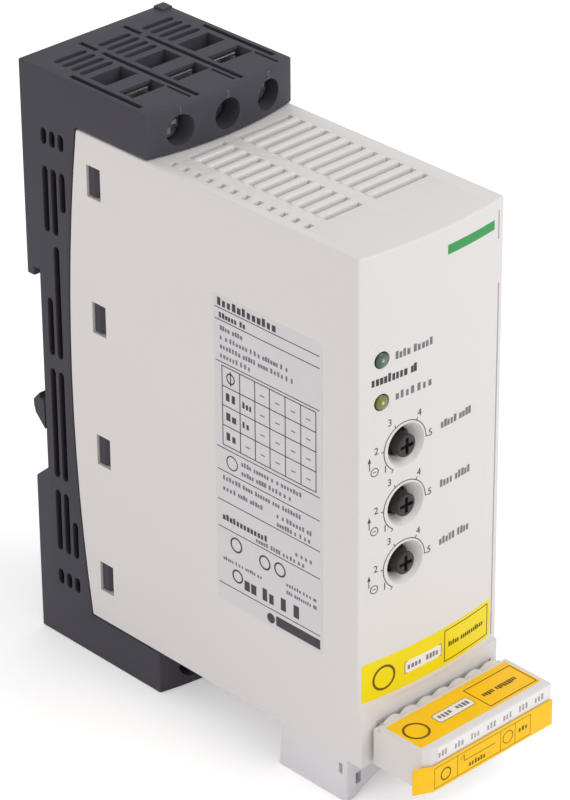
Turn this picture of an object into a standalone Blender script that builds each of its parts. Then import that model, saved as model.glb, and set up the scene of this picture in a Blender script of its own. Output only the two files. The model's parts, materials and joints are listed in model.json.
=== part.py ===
"""Soft starter for a small motor: a slim unit that snaps onto a 35 mm rail.

The unit stands upright. x runs across it from its middle, d forward from its rear face and z up from the
surface that it stands on. Its front faces -Y. The lower terminal block mirrors the upper one.
"""

import math

import bmesh
import bpy
from mathutils import Matrix, Vector

# Lengths are in millimetres, and become metres when a mesh is placed.
MM = 0.001
GAP = 0.3

# Outer size
WIDTH = 45.0
HALF = WIDTH / 2
DEPTH = 130.5
BLOCK_TOP = 153.5
TAB_HEIGHT = 0.5
MIDDLE_Z = BLOCK_TOP / 2
HOUSING_WALL = 3.9

# Front cover, between the two terminal blocks
BLOCK_HEIGHT = 11.6
COVER_TOP = BLOCK_TOP - BLOCK_HEIGHT
COVER_BOTTOM = BLOCK_HEIGHT
COVER_WALL = 2.0
COVER_EDGE_MIDDLE = 15.0
COVER_EDGE_END = 19.7
PLUG_LENGTH = 17.5
FACE_MIDDLE = DEPTH - PLUG_LENGTH
FACE_BOW = 2.0
FACE_SIDE = FACE_MIDDLE - FACE_BOW
FACE_INNER = FACE_SIDE - COVER_WALL
FRAME_TOP = 27.5
FRAME_STEP = 0.9
FRAME_FRONT = FACE_MIDDLE - FRAME_STEP
SKIRT_STEP = 5.5
SKIRT_DEPTH = 22.7
SKIRT = (FACE_MIDDLE - SKIRT_STEP - SKIRT_DEPTH, FACE_MIDDLE - SKIRT_STEP)
SNAP_HEIGHT = 8.1
SNAP_DEPTH = 4.7
SNAPS = (
    (COVER_TOP - 11.6, 22.8),
    (MIDDLE_Z + 18.45, 23.2),
    (MIDDLE_Z - 16.95, 23.2),
    (COVER_BOTTOM + 12.8, 22.8),
)
LOUVRE_FIRST = 48.5
LOUVRE_PITCH = 3.93
LOUVRE_ROWS = 12
LOUVRE_WIDTH = 1.5
LOUVRE_COLUMNS = ((2.7 - HALF, 4.9 - HALF), (8.6 - HALF, -2.8), (1.1, HALF - 4.8))

# Terminal blocks
BLOCK_FRONT_SIDE = 43.5
BLOCK_FRONT_MIDDLE = 46.4
BLOCK_UNDERSIDE = COVER_TOP + GAP
EDGE_GAP = 0.5
POLE_PITCH = HALF - 9.0
POLES = (-POLE_PITCH, 0.0, POLE_PITCH)
POLE_HALF = 4.9
SLOT_FIRST = 8.0
SLOT_PITCH = 3.0
TOP_SLOTS = 4

# In each block, from its outer face inward and from the unit's rear face forward
SCREW_LEVEL = 6.0
SCREW_HOLE = 7.6
SCREW_RADIUS = 2.0
HEAD_RADIUS = 3.2
HEAD_THICK = 1.5
CHAMBER = (29.7, 38.4)
CHAMBER_LEVELS = (0.8, 9.3)
CHAMBER_WALL = 1.0
HEAD_REAR = CHAMBER[1] + CHAMBER_WALL + GAP
MOUTH = (30.2, 35.0)
CLAMP = (30.3, 35.7)
CLAMP_WINDOW = (31.0, 34.7)
BAR_THICK = 0.8
BAR_HALF = 3.0

# Rail recess, latch and its spring
RECESS_WALL = 4.4
HOOK_TIP = 98.3
HOOK_GROOVE = 100.6
HOOK_THICK = 2.6
LOWER_EDGE = 43.0
LOWER_SLOPE = 46.8
LATCH_TRAVEL = 4.0
LATCH_HALF = 10.5
RIB = (17.5, 19.5)
SPRING_TOP = 33.7
COIL_TURNS = 8
COIL_STEPS = 9

# Vents in each side: middle of the slot, lowest and highest point from half height
VENT_WIDTH = 2.0
VENTS = (
    (8, 57.55, 61.95), (11, 57.55, 61.95), (14, 57.55, 61.95),
    (8, 35.05, 52.25), (11, 35.05, 52.25), (14, 41.85, 52.25),
    (8, 2.25, 17.85), (11, 2.25, 32.25),
    (8, -31.25, -1.05), (11, -31.25, -1.05),
    (8, -51.75, -34.55), (11, -51.75, -34.55), (14, -51.75, -41.35),
    (8, -61.45, -57.05), (11, -61.45, -57.05), (14, -61.45, -57.05),
)

# Controls on the front
LAMP_X = 6.25 - HALF
LAMP_HOLE = 4.2
LAMP_FIRST = COVER_TOP - 26.05
LAMP_PITCH = 10.45
LAMPS = (("power_lens", LAMP_FIRST), ("run_lens", LAMP_FIRST - LAMP_PITCH))
KNOBS = 3
KNOB_X = 13.05 - HALF
KNOB_FIRST = COVER_TOP - 49.7
KNOB_PITCH = 15.15
KNOB_Z = [KNOB_FIRST - KNOB_PITCH * number for number in range(KNOBS)]
KNOB_RADIUS = 2.8
KNOB_HOLE = 7.0
KNOB_FRONT = FACE_MIDDLE + 0.15
BOARD_FRONT = FACE_INNER - 3.5
BOARD_THICK = 1.6
MAIN_BOARD_X = HALF - 4.2
SINK_FRONT = 15.0
FINS = 9
RELAY_HEIGHT = 28.0
HEADER_FLOOR = BOARD_FRONT + 1.7

# Control plug
PLUG_GAP = 0.8
LABEL_THICK = 0.4
PLUG_X = (3.1 - HALF, HALF - 0.5)
PLUG_Z = (12.2, 23.4)
PLUG_D = (FRAME_FRONT + PLUG_GAP, DEPTH - LABEL_THICK - GAP)
PLUG_MARGINS = (2.85, 1.45)
CELLS = 7
CELL_PITCH = (PLUG_X[1] - PLUG_X[0] - sum(PLUG_MARGINS)) / CELLS
CELL_FIRST = PLUG_X[0] + PLUG_MARGINS[0] + CELL_PITCH / 2
CELL_TOP = PLUG_Z[1] - 0.1
CELL_LENGTH = 2.2
PIN_Z = 18.3
CELL_X = [CELL_FIRST + CELL_PITCH * number for number in range(CELLS)]


def clear_scene():
    for thing in list(bpy.data.objects):
        bpy.data.objects.remove(thing)


def material(name, colour, roughness, metallic=0.0):
    """A plain material. colour is an sRGB hex value."""
    made = bpy.data.materials.new(name)
    made.use_nodes = True
    shader = made.node_tree.nodes["Principled BSDF"]
    channels = [int(colour[place:place + 2], 16) / 255 for place in (1, 3, 5)]
    linear = [c / 12.92 if c <= 0.04045 else ((c + 0.055) / 1.055) ** 2.4 for c in channels]
    shader.inputs["Base Color"].default_value = (*linear, 1.0)
    shader.inputs["Roughness"].default_value = roughness
    shader.inputs["Metallic"].default_value = metallic
    return made


def point(x, d, z):
    return Vector((x, DEPTH / 2 - d, z)) * MM


def loose(mesh):
    """An object for a mesh that is still being worked on."""
    thing = bpy.data.objects.new("work", mesh)
    bpy.context.scene.collection.objects.link(thing)
    return thing


def from_bmesh(shape):
    shape.normal_update()
    bmesh.ops.recalc_face_normals(shape, faces=shape.faces)
    mesh = bpy.data.meshes.new("work")
    shape.to_mesh(mesh)
    shape.free()
    return loose(mesh)


def box(x, d, z):
    shape = bmesh.new()
    bmesh.ops.create_cube(shape, size=1.0)
    low = point(x[0], d[1], z[0])
    high = point(x[1], d[0], z[1])
    bmesh.ops.scale(shape, vec=high - low, verts=shape.verts)
    bmesh.ops.translate(shape, vec=(low + high) / 2, verts=shape.verts)
    return from_bmesh(shape)


def rod(x, z, d, radius, front_radius=None, segments=20):
    """A round rod along the depth, or a cone when front_radius is given."""
    shape = bmesh.new()
    middle = Matrix.Translation(point(x, (d[0] + d[1]) / 2, z))
    bmesh.ops.create_cone(
        shape,
        cap_ends=True,
        segments=segments,
        radius1=radius * MM,
        radius2=(front_radius or radius) * MM,
        depth=(d[1] - d[0]) * MM,
        matrix=middle @ Matrix.Rotation(math.pi / 2, 4, "X"),
    )
    return from_bmesh(shape)


VIEWS = {
    "side": lambda u, v, w: point(w, u, v),
    "plan": lambda u, v, w: point(u, v, w),
    "front": lambda u, v, w: point(u, w, v),
}


def whole_ends(shape):
    """Makes each end of a drawn prism one face, so that points in line leave no slivers between them."""
    ends = [face for face in shape.faces if len({round(vertex.co.z, 4) for vertex in face.verts}) == 1]
    bmesh.ops.delete(shape, geom=ends, context="FACES")
    bmesh.ops.holes_fill(shape, edges=shape.edges, sides=0)


def prism(view, outlines, low, high):
    """Outlines drawn in a view and given the thickness from low to high across it.

    A side outline is drawn in d and z, a plan outline in x and d, and a front outline in x and z.
    No outline stands inside another.
    """
    curve = bpy.data.curves.new("outline", "CURVE")
    curve.dimensions = "2D"
    curve.fill_mode = "BOTH"
    curve.extrude = (high - low) / 2
    for outline in outlines:
        spline = curve.splines.new("POLY")
        spline.points.add(len(outline) - 1)
        for place, (u, v) in zip(spline.points, outline):
            place.co = (u, v, 0.0, 1.0)
        spline.use_cyclic_u = True
    drawn = loose(curve)
    graph = bpy.context.evaluated_depsgraph_get()
    flat = bpy.data.meshes.new_from_object(drawn.evaluated_get(graph))
    bpy.data.objects.remove(drawn)
    shape = bmesh.new()
    shape.from_mesh(flat)
    bmesh.ops.remove_doubles(shape, verts=shape.verts, dist=0.001)
    whole_ends(shape)
    for vertex in shape.verts:
        u, v, w = vertex.co
        vertex.co = VIEWS[view](u, v, w + (low + high) / 2)
    return from_bmesh(shape)


def arc(start, end, rise, steps):
    """Points of an arc from start to end whose middle stands rise to the left of the straight line."""
    start, end = Vector(start), Vector(end)
    chord = end - start
    along = chord.normalized()
    across = Vector((-along.y, along.x)) * math.copysign(1, rise)
    radius = (chord.length ** 2 / 4 + rise ** 2) / (2 * abs(rise))
    half = math.asin(chord.length / 2 / radius)
    points = []
    for step in range(steps + 1):
        angle = half * (2 * step / steps - 1)
        height = radius * math.cos(angle) - radius + abs(rise)
        points.append(tuple((start + end) / 2 + along * radius * math.sin(angle) + across * height))
    return points


def rectangle(u, v):
    return [(u[0], v[0]), (u[1], v[0]), (u[1], v[1]), (u[0], v[1])]


def slot(u, v, steps=3):
    """The outline of a slot with round ends that fills the rectangle u by v."""
    radius = min(u[1] - u[0], v[1] - v[0]) / 2
    upright = v[1] - v[0] > u[1] - u[0]
    ends = (v if upright else u)
    points = []
    for end, side in ((ends[1] - radius, 0), (ends[0] + radius, math.pi)):
        middle = ((u[0] + u[1]) / 2, end) if upright else (end, (v[0] + v[1]) / 2)
        turn = side if upright else side - math.pi / 2
        for step in range(steps + 1):
            angle = turn + math.pi * step / steps
            points.append((middle[0] + radius * math.cos(angle), middle[1] + radius * math.sin(angle)))
    return points


def apply_modifiers(thing):
    graph = bpy.context.evaluated_depsgraph_get()
    mesh = bpy.data.meshes.new_from_object(thing.evaluated_get(graph))
    thing.modifiers.clear()
    thing.data = mesh


def combine(thing, operation, tools):
    for tool in tools:
        modifier = thing.modifiers.new(operation, "BOOLEAN")
        modifier.operation = operation
        modifier.object = tool
    apply_modifiers(thing)
    for tool in tools:
        bpy.data.objects.remove(tool)
    return thing


def cut(thing, *tools):
    return combine(thing, "DIFFERENCE", tools)


def join(thing, *tools):
    return combine(thing, "UNION", tools)


def keep_common(thing, *tools):
    return combine(thing, "INTERSECT", tools)


def round_edges(thing, radius, segments=2, chosen=None):
    """Rounds the outward edges, or those of them that chosen accepts."""
    shape = bmesh.new()
    shape.from_mesh(thing.data)
    bmesh.ops.dissolve_limit(shape, angle_limit=math.radians(0.1), verts=shape.verts, edges=shape.edges)
    edges = []
    for edge in shape.edges:
        if len(edge.link_faces) != 2 or not edge.is_convex:
            continue
        if edge.calc_face_angle() < math.radians(30):
            continue
        if chosen is None or chosen((edge.verts[0].co + edge.verts[1].co) / 2):
            edges.append(edge)
    bmesh.ops.bevel(
        shape,
        geom=edges,
        offset=radius * MM,
        segments=segments,
        profile=0.5,
        affect="EDGES",
        clamp_overlap=True,
    )
    shape.to_mesh(thing.data)
    shape.free()
    return thing


def finish(thing, name, look, origin=None):
    """Names a finished piece, gives it its material and sets its origin."""
    thing.name = name
    thing.data.name = name
    thing.data.materials.clear()
    thing.data.materials.append(look)
    thing.data.shade_smooth()
    thing.data.set_sharp_from_angle(angle=math.radians(30))
    if origin is not None:
        thing.data.transform(Matrix.Translation(-origin))
        thing.location = origin
    bpy.context.scene.collection.objects.unlink(thing)
    PARTS.objects.link(thing)
    return thing


def level(inward, lower):
    """The height that lies this far inside the outer face of the upper or the lower terminal block."""
    return inward if lower else BLOCK_TOP - inward


def levels(first, second, lower):
    return tuple(sorted((level(first, lower), level(second, lower))))


def cover_edge(offset, steps=12):
    """The cover's curved rear edge from its lower end to its upper one, moved forward by offset."""
    lower = (COVER_EDGE_END + offset, COVER_BOTTOM)
    upper = (COVER_EDGE_END + offset, COVER_TOP)
    return arc(lower, upper, COVER_EDGE_END - COVER_EDGE_MIDDLE, steps)


def bowed(x_half, side, middle, steps):
    """The bowed front in plan, from right to left."""
    return arc((x_half, side), (-x_half, side), -(middle - side), steps)


def housing_shell():
    """The outer form of the base: its side outline, bowed at the front of both terminal blocks."""
    front = BLOCK_FRONT_MIDDLE + 1
    under = BLOCK_TOP - BLOCK_UNDERSIDE
    edge = [(d, z) for d, z in cover_edge(-EDGE_GAP)]
    edge[0] = (edge[0][0], under)
    edge[-1] = (edge[-1][0], BLOCK_UNDERSIDE)
    side = [(0, BLOCK_TOP), (0, HOOK_TIP), (HOOK_THICK, HOOK_TIP), (HOOK_THICK, HOOK_GROOVE)]
    side += [(RECESS_WALL, HOOK_GROOVE), (RECESS_WALL, LOWER_SLOPE), (0, LOWER_EDGE), (0, 0)]
    side += [(front, 0), (front, under), *edge, (front, BLOCK_UNDERSIDE), (front, BLOCK_TOP)]
    plan = [(-HALF, -1), (HALF, -1), *bowed(HALF, BLOCK_FRONT_SIDE, BLOCK_FRONT_MIDDLE, 8)]
    shell = prism("side", [side], -HALF - 1, HALF + 1)
    keep_common(shell, prism("plan", [plan], -1, BLOCK_TOP + 1))
    return round_edges(shell, 0.4)


def snap_barb(side, z, d):
    """A wedge on the base that fills a window of the cover: steep behind, sloping to the front."""
    root, low, tip = HALF - COVER_WALL - 0.5, HALF - COVER_WALL - 0.1, HALF - 0.6
    outline = [(root, d), (tip, d), (tip, d + 1.8), (low, d + 4.1), (root, d + 4.1)]
    outline = [(side * x, y) for x, y in outline]
    return prism("plan", [outline], z - SNAP_HEIGHT / 2 + GAP, z + SNAP_HEIGHT / 2 - GAP)


def pole_cutters(x, lower):
    """What one pole takes out of its terminal block."""
    wide = (x - POLE_HALF, x + POLE_HALF)
    slots = []
    for number in range(TOP_SLOTS):
        middle = SLOT_FIRST + SLOT_PITCH * number
        slots.append(slot(wide, (middle - 0.85, middle + 0.85)))
    yield prism("plan", slots, *levels(3.0, -1, lower))
    yield box((wide[0] + 0.15, wide[1] - 0.15), (20.0, 25.8), levels(4.7, -1, lower))
    yield box(wide, MOUTH, levels(CHAMBER_LEVELS[0] + 0.7, -1, lower))
    yield box(wide, CHAMBER, levels(*CHAMBER_LEVELS, lower))
    bar = (x - BAR_HALF - GAP, x + BAR_HALF + GAP)
    bar_levels = (CHAMBER_LEVELS[1] - 0.4, CHAMBER_LEVELS[1] + BAR_THICK + GAP)
    yield box(bar, (15.0, CLAMP_WINDOW[1] + GAP), levels(*bar_levels, lower))
    z = level(SCREW_LEVEL, lower)
    yield rod(x, z, (CHAMBER[1] - 0.9, HEAD_REAR + 0.3), SCREW_RADIUS + GAP)
    yield rod(x, z, (CHAMBER[1] + CHAMBER_WALL, BLOCK_FRONT_MIDDLE + 1.6), SCREW_HOLE / 2)


def block_grooves(lower):
    """The grooves in the top of a terminal block: between the poles, beside them and along its edges."""
    between = (-POLE_PITCH / 2, POLE_PITCH / 2)
    deep = [rectangle((x - 0.65, x + 0.65), (19.0, 44.0)) for x in between]
    shallow = []
    for x in between:
        shallow.append(rectangle((x - 0.65, x + 0.65), (3.5, 9.6)))
        shallow.append(rectangle((x - 0.65, x + 0.65), (11.5, 19.6)))
    fine = []
    for x in POLES:
        fine.append(rectangle((x + POLE_HALF - 0.4, x + POLE_HALF + 0.4), (35.6, 43.4)))
    edges = [rectangle((1.4 - HALF, 2.8 - HALF), (16.0, 40.0)), rectangle((HALF - 2.7, HALF - 1.4), (16.0, 40.0))]
    yield prism("plan", deep, *levels(5.0, -1, lower))
    yield prism("plan", shallow, *levels(1.6, -1, lower))
    yield prism("plan", fine, *levels(0.45, -1, lower))
    yield prism("plan", edges, *levels(3.0, -1, lower))


def base_housing():
    housing = housing_shell()
    inset = COVER_WALL + GAP
    tongue = box((inset - HALF, HALF - inset), (12.0, 32.0), (COVER_BOTTOM + inset, COVER_TOP - inset))
    barbs = [snap_barb(side, z, d + GAP) for z, d in SNAPS for side in (-1, 1)]
    pads = [box((6 - HALF, HALF - 6), (4.0, 5.4), z) for z in ((90, 97), (69, 75))]
    tab = box((HALF - 3.5, HALF - 0.4), (0.4, 3.5), (BLOCK_TOP - 1, BLOCK_TOP + TAB_HEIGHT))
    join(housing, tongue, tab, *barbs, *pads)

    # One hollow behind the front opening, and a duct from it up and down to the slots of the blocks
    back, duct, mouth = 6.6, 17.9, 33.0
    inner = (COVER_BOTTOM + 3.7, COVER_TOP - 3.7)
    ends = (2.2, BLOCK_TOP - 2.2)
    hollow = [(back, ends[0]), (duct, ends[0]), (duct, inner[0]), (mouth, inner[0])]
    hollow += [(mouth, inner[1]), (duct, inner[1]), (duct, ends[1]), (back, ends[1])]
    cut(housing, prism("side", [hollow], HOUSING_WALL - HALF, HALF - HOUSING_WALL))

    vents = []
    for d, low, high in VENTS:
        vents.append(slot((d - VENT_WIDTH / 2, d + VENT_WIDTH / 2), (MIDDLE_Z + low, MIDDLE_Z + high)))
    cut(housing, prism("side", vents, -HALF - 1, HALF + 1))
    for lower in (False, True):
        for x in POLES:
            cut(housing, *pole_cutters(x, lower))
        cut(housing, *block_grooves(lower))

    # The latch's channel keeps a rib for the spring, and its skin has a window and a notch
    beside = LATCH_HALF + GAP
    channel = box((-beside, beside), (1.6, RECESS_WALL), (1.5, LOWER_SLOPE + 2))
    cut(channel, box((-2.5, 2.5), (1, 5), RIB))
    cut(housing, channel, box((-2, 2), (-1, 3), (21, 33)), box((-6, 6), (-1, 3), (-1, 12)))

    # Pockets that keep the thick rear walls even
    upper = (HOOK_GROOVE + 5.4, BLOCK_TOP - 5.5)
    lower = (4, LOWER_EDGE - 3)
    pockets = [rectangle(x, upper) for x in ((4.5 - HALF, -1.2), (1.2, HALF - 4.5))]
    pockets += [rectangle(x, lower) for x in ((2.5 - HALF, -LATCH_HALF - 2), (LATCH_HALF + 2, HALF - 2.5))]
    cut(housing, prism("front", pockets, -1, 3.6))
    return finish(housing, "base_housing", DARK_PLASTIC)


def cover_shell():
    """The outer form of the cover with its bowed face, flat lower frame and skirt."""
    rear, front = SKIRT
    proud = FACE_MIDDLE + 1
    side = [(proud, COVER_TOP), *reversed(cover_edge(0)), (rear + 1.1, COVER_BOTTOM), (rear, 0)]
    side += [(front, 0), (front, COVER_BOTTOM), (FRAME_FRONT, COVER_BOTTOM)]
    side += [(FRAME_FRONT, FRAME_TOP), (proud, FRAME_TOP)]
    cover = prism("side", [side], -HALF, HALF)
    bow = bowed(HALF, FACE_SIDE, FACE_MIDDLE, 10)
    beyond = FACE_MIDDLE + 3
    outside = [(HALF + 1, FACE_SIDE), *bow, (-HALF - 1, FACE_SIDE), (-HALF - 1, beyond), (HALF + 1, beyond)]
    cut(cover, prism("plan", [outside], FRAME_TOP - 0.5, COVER_TOP + 1))

    def outer(middle):
        """The long outer edges, but not the low step above the frame nor the rear rim."""
        d = DEPTH / 2 - middle.y / MM
        z = middle.z / MM
        step = abs(z - FRAME_TOP) < 1.5 and d > FACE_SIDE - 1
        return d > COVER_EDGE_END + 1 and not step

    return round_edges(cover, 0.9, 3, outer)


def louvres(rows):
    outlines = []
    for row in range(rows):
        middle = LOUVRE_FIRST + LOUVRE_PITCH * row
        for column in LOUVRE_COLUMNS:
            outlines.append(rectangle(column, (middle - LOUVRE_WIDTH / 2, middle + LOUVRE_WIDTH / 2)))
    return outlines


def front_cover():
    cover = cover_shell()
    wall = COVER_WALL
    cavity = box((-HALF + wall, HALF - wall), (10, FACE_INNER), (COVER_BOTTOM + wall, COVER_TOP - wall))
    cut(cover, cavity)
    posts = []
    for x in (6.5 - HALF, HALF - 6.5):
        for z in (COVER_BOTTOM + 15.4, COVER_TOP - 15.9):
            posts.append(rod(x, z, (BOARD_FRONT + GAP, FACE_INNER + 0.8), 2.0, segments=16))
    join(cover, *posts)

    windows = [rectangle((d, d + SNAP_DEPTH), (z - SNAP_HEIGHT / 2, z + SNAP_HEIGHT / 2)) for z, d in SNAPS]
    cut(
        cover,
        prism("side", windows, -HALF - 1, HALF + 1),
        prism("plan", louvres(LOUVRE_ROWS), COVER_TOP - wall - 1, COVER_TOP + 1),
        prism("plan", louvres(9), COVER_BOTTOM - 1, COVER_BOTTOM + wall + 1),
    )

    # The skirt is open below and behind, its front wall is arched and has one small window
    rear, front = SKIRT
    foot = HALF - 1.5
    arch = [(-foot, -1), (foot, -1), *arc((foot, 0), (-foot, 0), -6.0, 14)]
    notch = (COVER_BOTTOM - 4.0, COVER_BOTTOM - 1.2)
    cut(
        cover,
        box((-HALF + wall, HALF - wall), (rear - 2, front - wall), (-1, COVER_BOTTOM + 0.5)),
        prism("front", [arch], front - wall - 1, front + 1),
        box((3.0 - HALF, 4.8 - HALF), (front - wall - 1, front + 1), (4, 7)),
        box((-HALF - 1, -HALF + 1), (front - 2.5, front - 1.3), notch),
        box((HALF - 1, HALF + 1), (front - 2.5, front - 1.3), notch),
    )

    # Holes for the lamps, countersunk holes for the knobs, the plug's opening and the label's grooves
    holes = [rod(LAMP_X, z, (FACE_INNER - 1, FACE_MIDDLE + 1), LAMP_HOLE / 2) for _, z in LAMPS]
    seat = FACE_MIDDLE - 2.95
    for z in KNOB_Z:
        holes.append(rod(KNOB_X, z, (FACE_INNER - 1, seat + 0.35), KNOB_HOLE / 2, segments=28))
        holes.append(rod(KNOB_X, z, (seat, seat + 3.0), KNOB_HOLE / 2, KNOB_HOLE / 2 + 2.19, segments=28))
    opening = (PLUG_X[0] + 1.7, PLUG_X[1] - 1.8)
    holes.append(box(opening, (FACE_INNER - 1, FRAME_FRONT + 1), (13.9, 22.7)))
    proud = FACE_MIDDLE + 2
    holes.append(box((HALF - 1.85, HALF - 1.35), (FACE_SIDE - 0.1, proud), (FRAME_TOP + 1.1, COVER_TOP - 20.9)))
    holes.append(box((HALF - 2.25, HALF - 1.75), (FACE_SIDE, proud), (COVER_TOP - 9.9, COVER_TOP - 2.9)))
    cut(cover, *holes)
    return finish(cover, "front_cover", CREAM_PLASTIC)


def rail_latch():
    """The sprung latch: a plate in the base's channel with a full-width lip under the rail."""
    lip = [(4.1, 57.4), (0.8, 60.8), (0.3, 62.5), (0.2, 64.3), (2.5, 66.8), (2.5, 65.3), (4.1, 65.3)]
    latch = prism("side", [lip], -HALF, HALF)
    join(latch, box((-LATCH_HALF, LATCH_HALF), (1.9, 4.1), (6.0, 60.0)))
    cut(
        latch,
        box((-3, 3), (1, 5), (RIB[0] - GAP, SPRING_TOP + GAP)),
        prism("front", [slot((-2.5, 2.5), (8.2, 10.8))], 1, 5),
    )
    return finish(latch, "rail_latch", DARK_PLASTIC, point(0, 3, 60))


def latch_spring():
    """The coil that pushes the latch up, between the rib and the top of the plate's window."""
    wire, radius = 0.2, 0.85
    low = RIB[1] + GAP + wire
    high = SPRING_TOP - wire
    curve = bpy.data.curves.new("coil", "CURVE")
    curve.dimensions = "3D"
    curve.bevel_depth = wire * MM
    curve.bevel_resolution = 1
    curve.use_fill_caps = True
    spline = curve.splines.new("POLY")
    spline.points.add(COIL_TURNS * COIL_STEPS)
    for number, place in enumerate(spline.points):
        angle = 2 * math.pi * number / COIL_STEPS
        z = low + (high - low) * number / (COIL_TURNS * COIL_STEPS)
        place.co = (*point(radius * math.cos(angle), 3.0 + radius * math.sin(angle), z), 1.0)
    drawn = loose(curve)
    graph = bpy.context.evaluated_depsgraph_get()
    mesh = bpy.data.meshes.new_from_object(drawn.evaluated_get(graph))
    bpy.data.objects.remove(drawn)
    shape = bmesh.new()
    shape.from_mesh(mesh)
    bmesh.ops.remove_doubles(shape, verts=shape.verts, dist=1e-6)
    return finish(from_bmesh(shape), "latch_spring", SPRING_STEEL)


def cross_slot(x, z, d, length, width, depth):
    """A cross-shaped recess in the front of a screw or knob, cut from d backward."""
    flat, upright = length / 2, width / 2
    cross = [(-flat, -upright), (-upright, -upright), (-upright, -flat), (upright, -flat)]
    cross += [(upright, -upright), (flat, -upright), (flat, upright), (upright, upright)]
    cross += [(upright, flat), (-upright, flat), (-upright, upright), (-flat, upright)]
    return prism("front", [[(x + u, z + v) for u, v in cross]], d - depth, d + 1)


def box_clamp(name, x, lower):
    """The clamp that a terminal screw draws forward, so that its rear wall presses the wire on the bar.

    It is a square ring, and its rear wall runs up to a lip behind the wire's mouth.
    """
    half = POLE_HALF - GAP
    window = half - 1.2
    foot = CHAMBER_LEVELS[1] - GAP
    ring = levels(foot, CHAMBER_LEVELS[0] + 1.8, lower)
    lip = levels(foot - 4, CHAMBER_LEVELS[0] + GAP, lower)
    clamp = box((x - half, x + half), CLAMP, ring)
    cut(
        clamp,
        box((x - window, x + window), CLAMP_WINDOW, (ring[0] - 1, ring[1] + 1)),
        rod(x, level(SCREW_LEVEL, lower), (CLAMP_WINDOW[1] - 0.2, CLAMP[1] + 0.8), SCREW_RADIUS + GAP),
    )
    join(clamp, box((x - 3.2, x + 3.2), (CLAMP[0] + 0.15, CLAMP_WINDOW[0] - 0.05), lip))
    return finish(clamp, name, ZINC_STEEL)


def terminal_bar(name, x, lower):
    """The copper bar: up through the clamp, back under it and into the unit."""
    front = CLAMP_WINDOW[1] - GAP
    rear = 15.6
    top = CHAMBER_LEVELS[0] + 1.7
    flat = CHAMBER_LEVELS[1]
    end = BLOCK_HEIGHT + 5.9
    side = [(front - BAR_THICK, top), (front, top), (front, flat + BAR_THICK), (rear + BAR_THICK, flat + BAR_THICK)]
    side += [(rear + BAR_THICK, end), (rear, end), (rear, flat), (front - BAR_THICK, flat)]
    side = [(d, level(inward, lower)) for d, inward in side]
    return finish(prism("side", [side], x - BAR_HALF, x + BAR_HALF), name, TINNED_COPPER)


def terminal_screw(name, x, lower):
    z = level(SCREW_LEVEL, lower)
    front = HEAD_REAR + HEAD_THICK
    screw = rod(x, z, (CLAMP[1] - 1.3, HEAD_REAR + 0.3), SCREW_RADIUS)
    join(screw, rod(x, z, (HEAD_REAR, front), HEAD_RADIUS))
    cut(screw, cross_slot(x, z, front, 4.6, 0.9, 0.9))
    return finish(screw, name, ZINC_STEEL, point(x, front, z))


def terminals():
    for end, lower in (("line", False), ("load", True)):
        for number, x in enumerate(POLES, 1):
            box_clamp(f"{end}_clamp_{number}", x, lower)
            terminal_bar(f"{end}_bar_{number}", x, lower)
            terminal_screw(f"{end}_screw_{number}", x, lower)


def face_depth(x):
    """The depth of the cover's bowed face at x."""
    rise = FACE_MIDDLE - FACE_SIDE
    radius = (HALF ** 2 + rise ** 2) / (2 * rise)
    return FACE_MIDDLE - radius + math.sqrt(radius ** 2 - x ** 2)


def lamp_lens(name, z, look):
    """A light pipe from the board to a low dome on the face, turned from its profile."""
    base = BOARD_FRONT + GAP
    straight = face_depth(LAMP_X) - 0.1
    radius, dome = 1.8, 0.6
    profile = [(0, straight + dome)]
    for step in range(1, 4):
        angle = math.radians(30 * step)
        profile.append((radius * math.sin(angle), straight + dome * math.cos(angle)))
    profile += [(radius, base), (0, base)]
    shape = bmesh.new()
    corners = [shape.verts.new((r * MM, 0, d * MM)) for r, d in profile]
    for first, second in zip(corners, corners[1:]):
        shape.edges.new((first, second))
    mesh = bpy.data.meshes.new("profile")
    shape.to_mesh(mesh)
    shape.free()
    lens = loose(mesh)
    turn = lens.modifiers.new("turn", "SCREW")
    turn.axis = "Z"
    turn.angle = 2 * math.pi
    turn.steps = 20
    turn.render_steps = 20
    turn.use_merge_vertices = True
    turn.merge_threshold = 0.00001
    apply_modifiers(lens)
    forward = Matrix.Translation(point(LAMP_X, 0, z)) @ Matrix.Rotation(math.pi / 2, 4, "X")
    lens.data.transform(forward)
    shape = bmesh.new()
    shape.from_mesh(lens.data)
    bmesh.ops.remove_doubles(shape, verts=shape.verts, dist=1e-6)
    bpy.data.objects.remove(lens)
    return finish(from_bmesh(shape), name, look)


def trimmer(number, z):
    """A square trimmer on the board and the slotted knob that turns in it."""
    size = 4.75
    body = box((KNOB_X - size, KNOB_X + size), (BOARD_FRONT + GAP, FACE_INNER - GAP), (z - size, z + size))
    cut(body, rod(KNOB_X, z, (BOARD_FRONT + 1.1, FACE_INNER + 1), KNOB_RADIUS + GAP))
    finish(body, f"trimmer_body_{number}", BLUE_PLASTIC)
    knob = rod(KNOB_X, z, (BOARD_FRONT + 1.4, KNOB_FRONT), KNOB_RADIUS, segments=24)
    round_edges(knob, 0.3, 2)
    cut(knob, cross_slot(KNOB_X, z, KNOB_FRONT, 4.0, 0.9, 1.1))
    finish(knob, f"trimmer_knob_{number}", KNOB_PLASTIC, point(KNOB_X, KNOB_FRONT, z))


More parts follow.
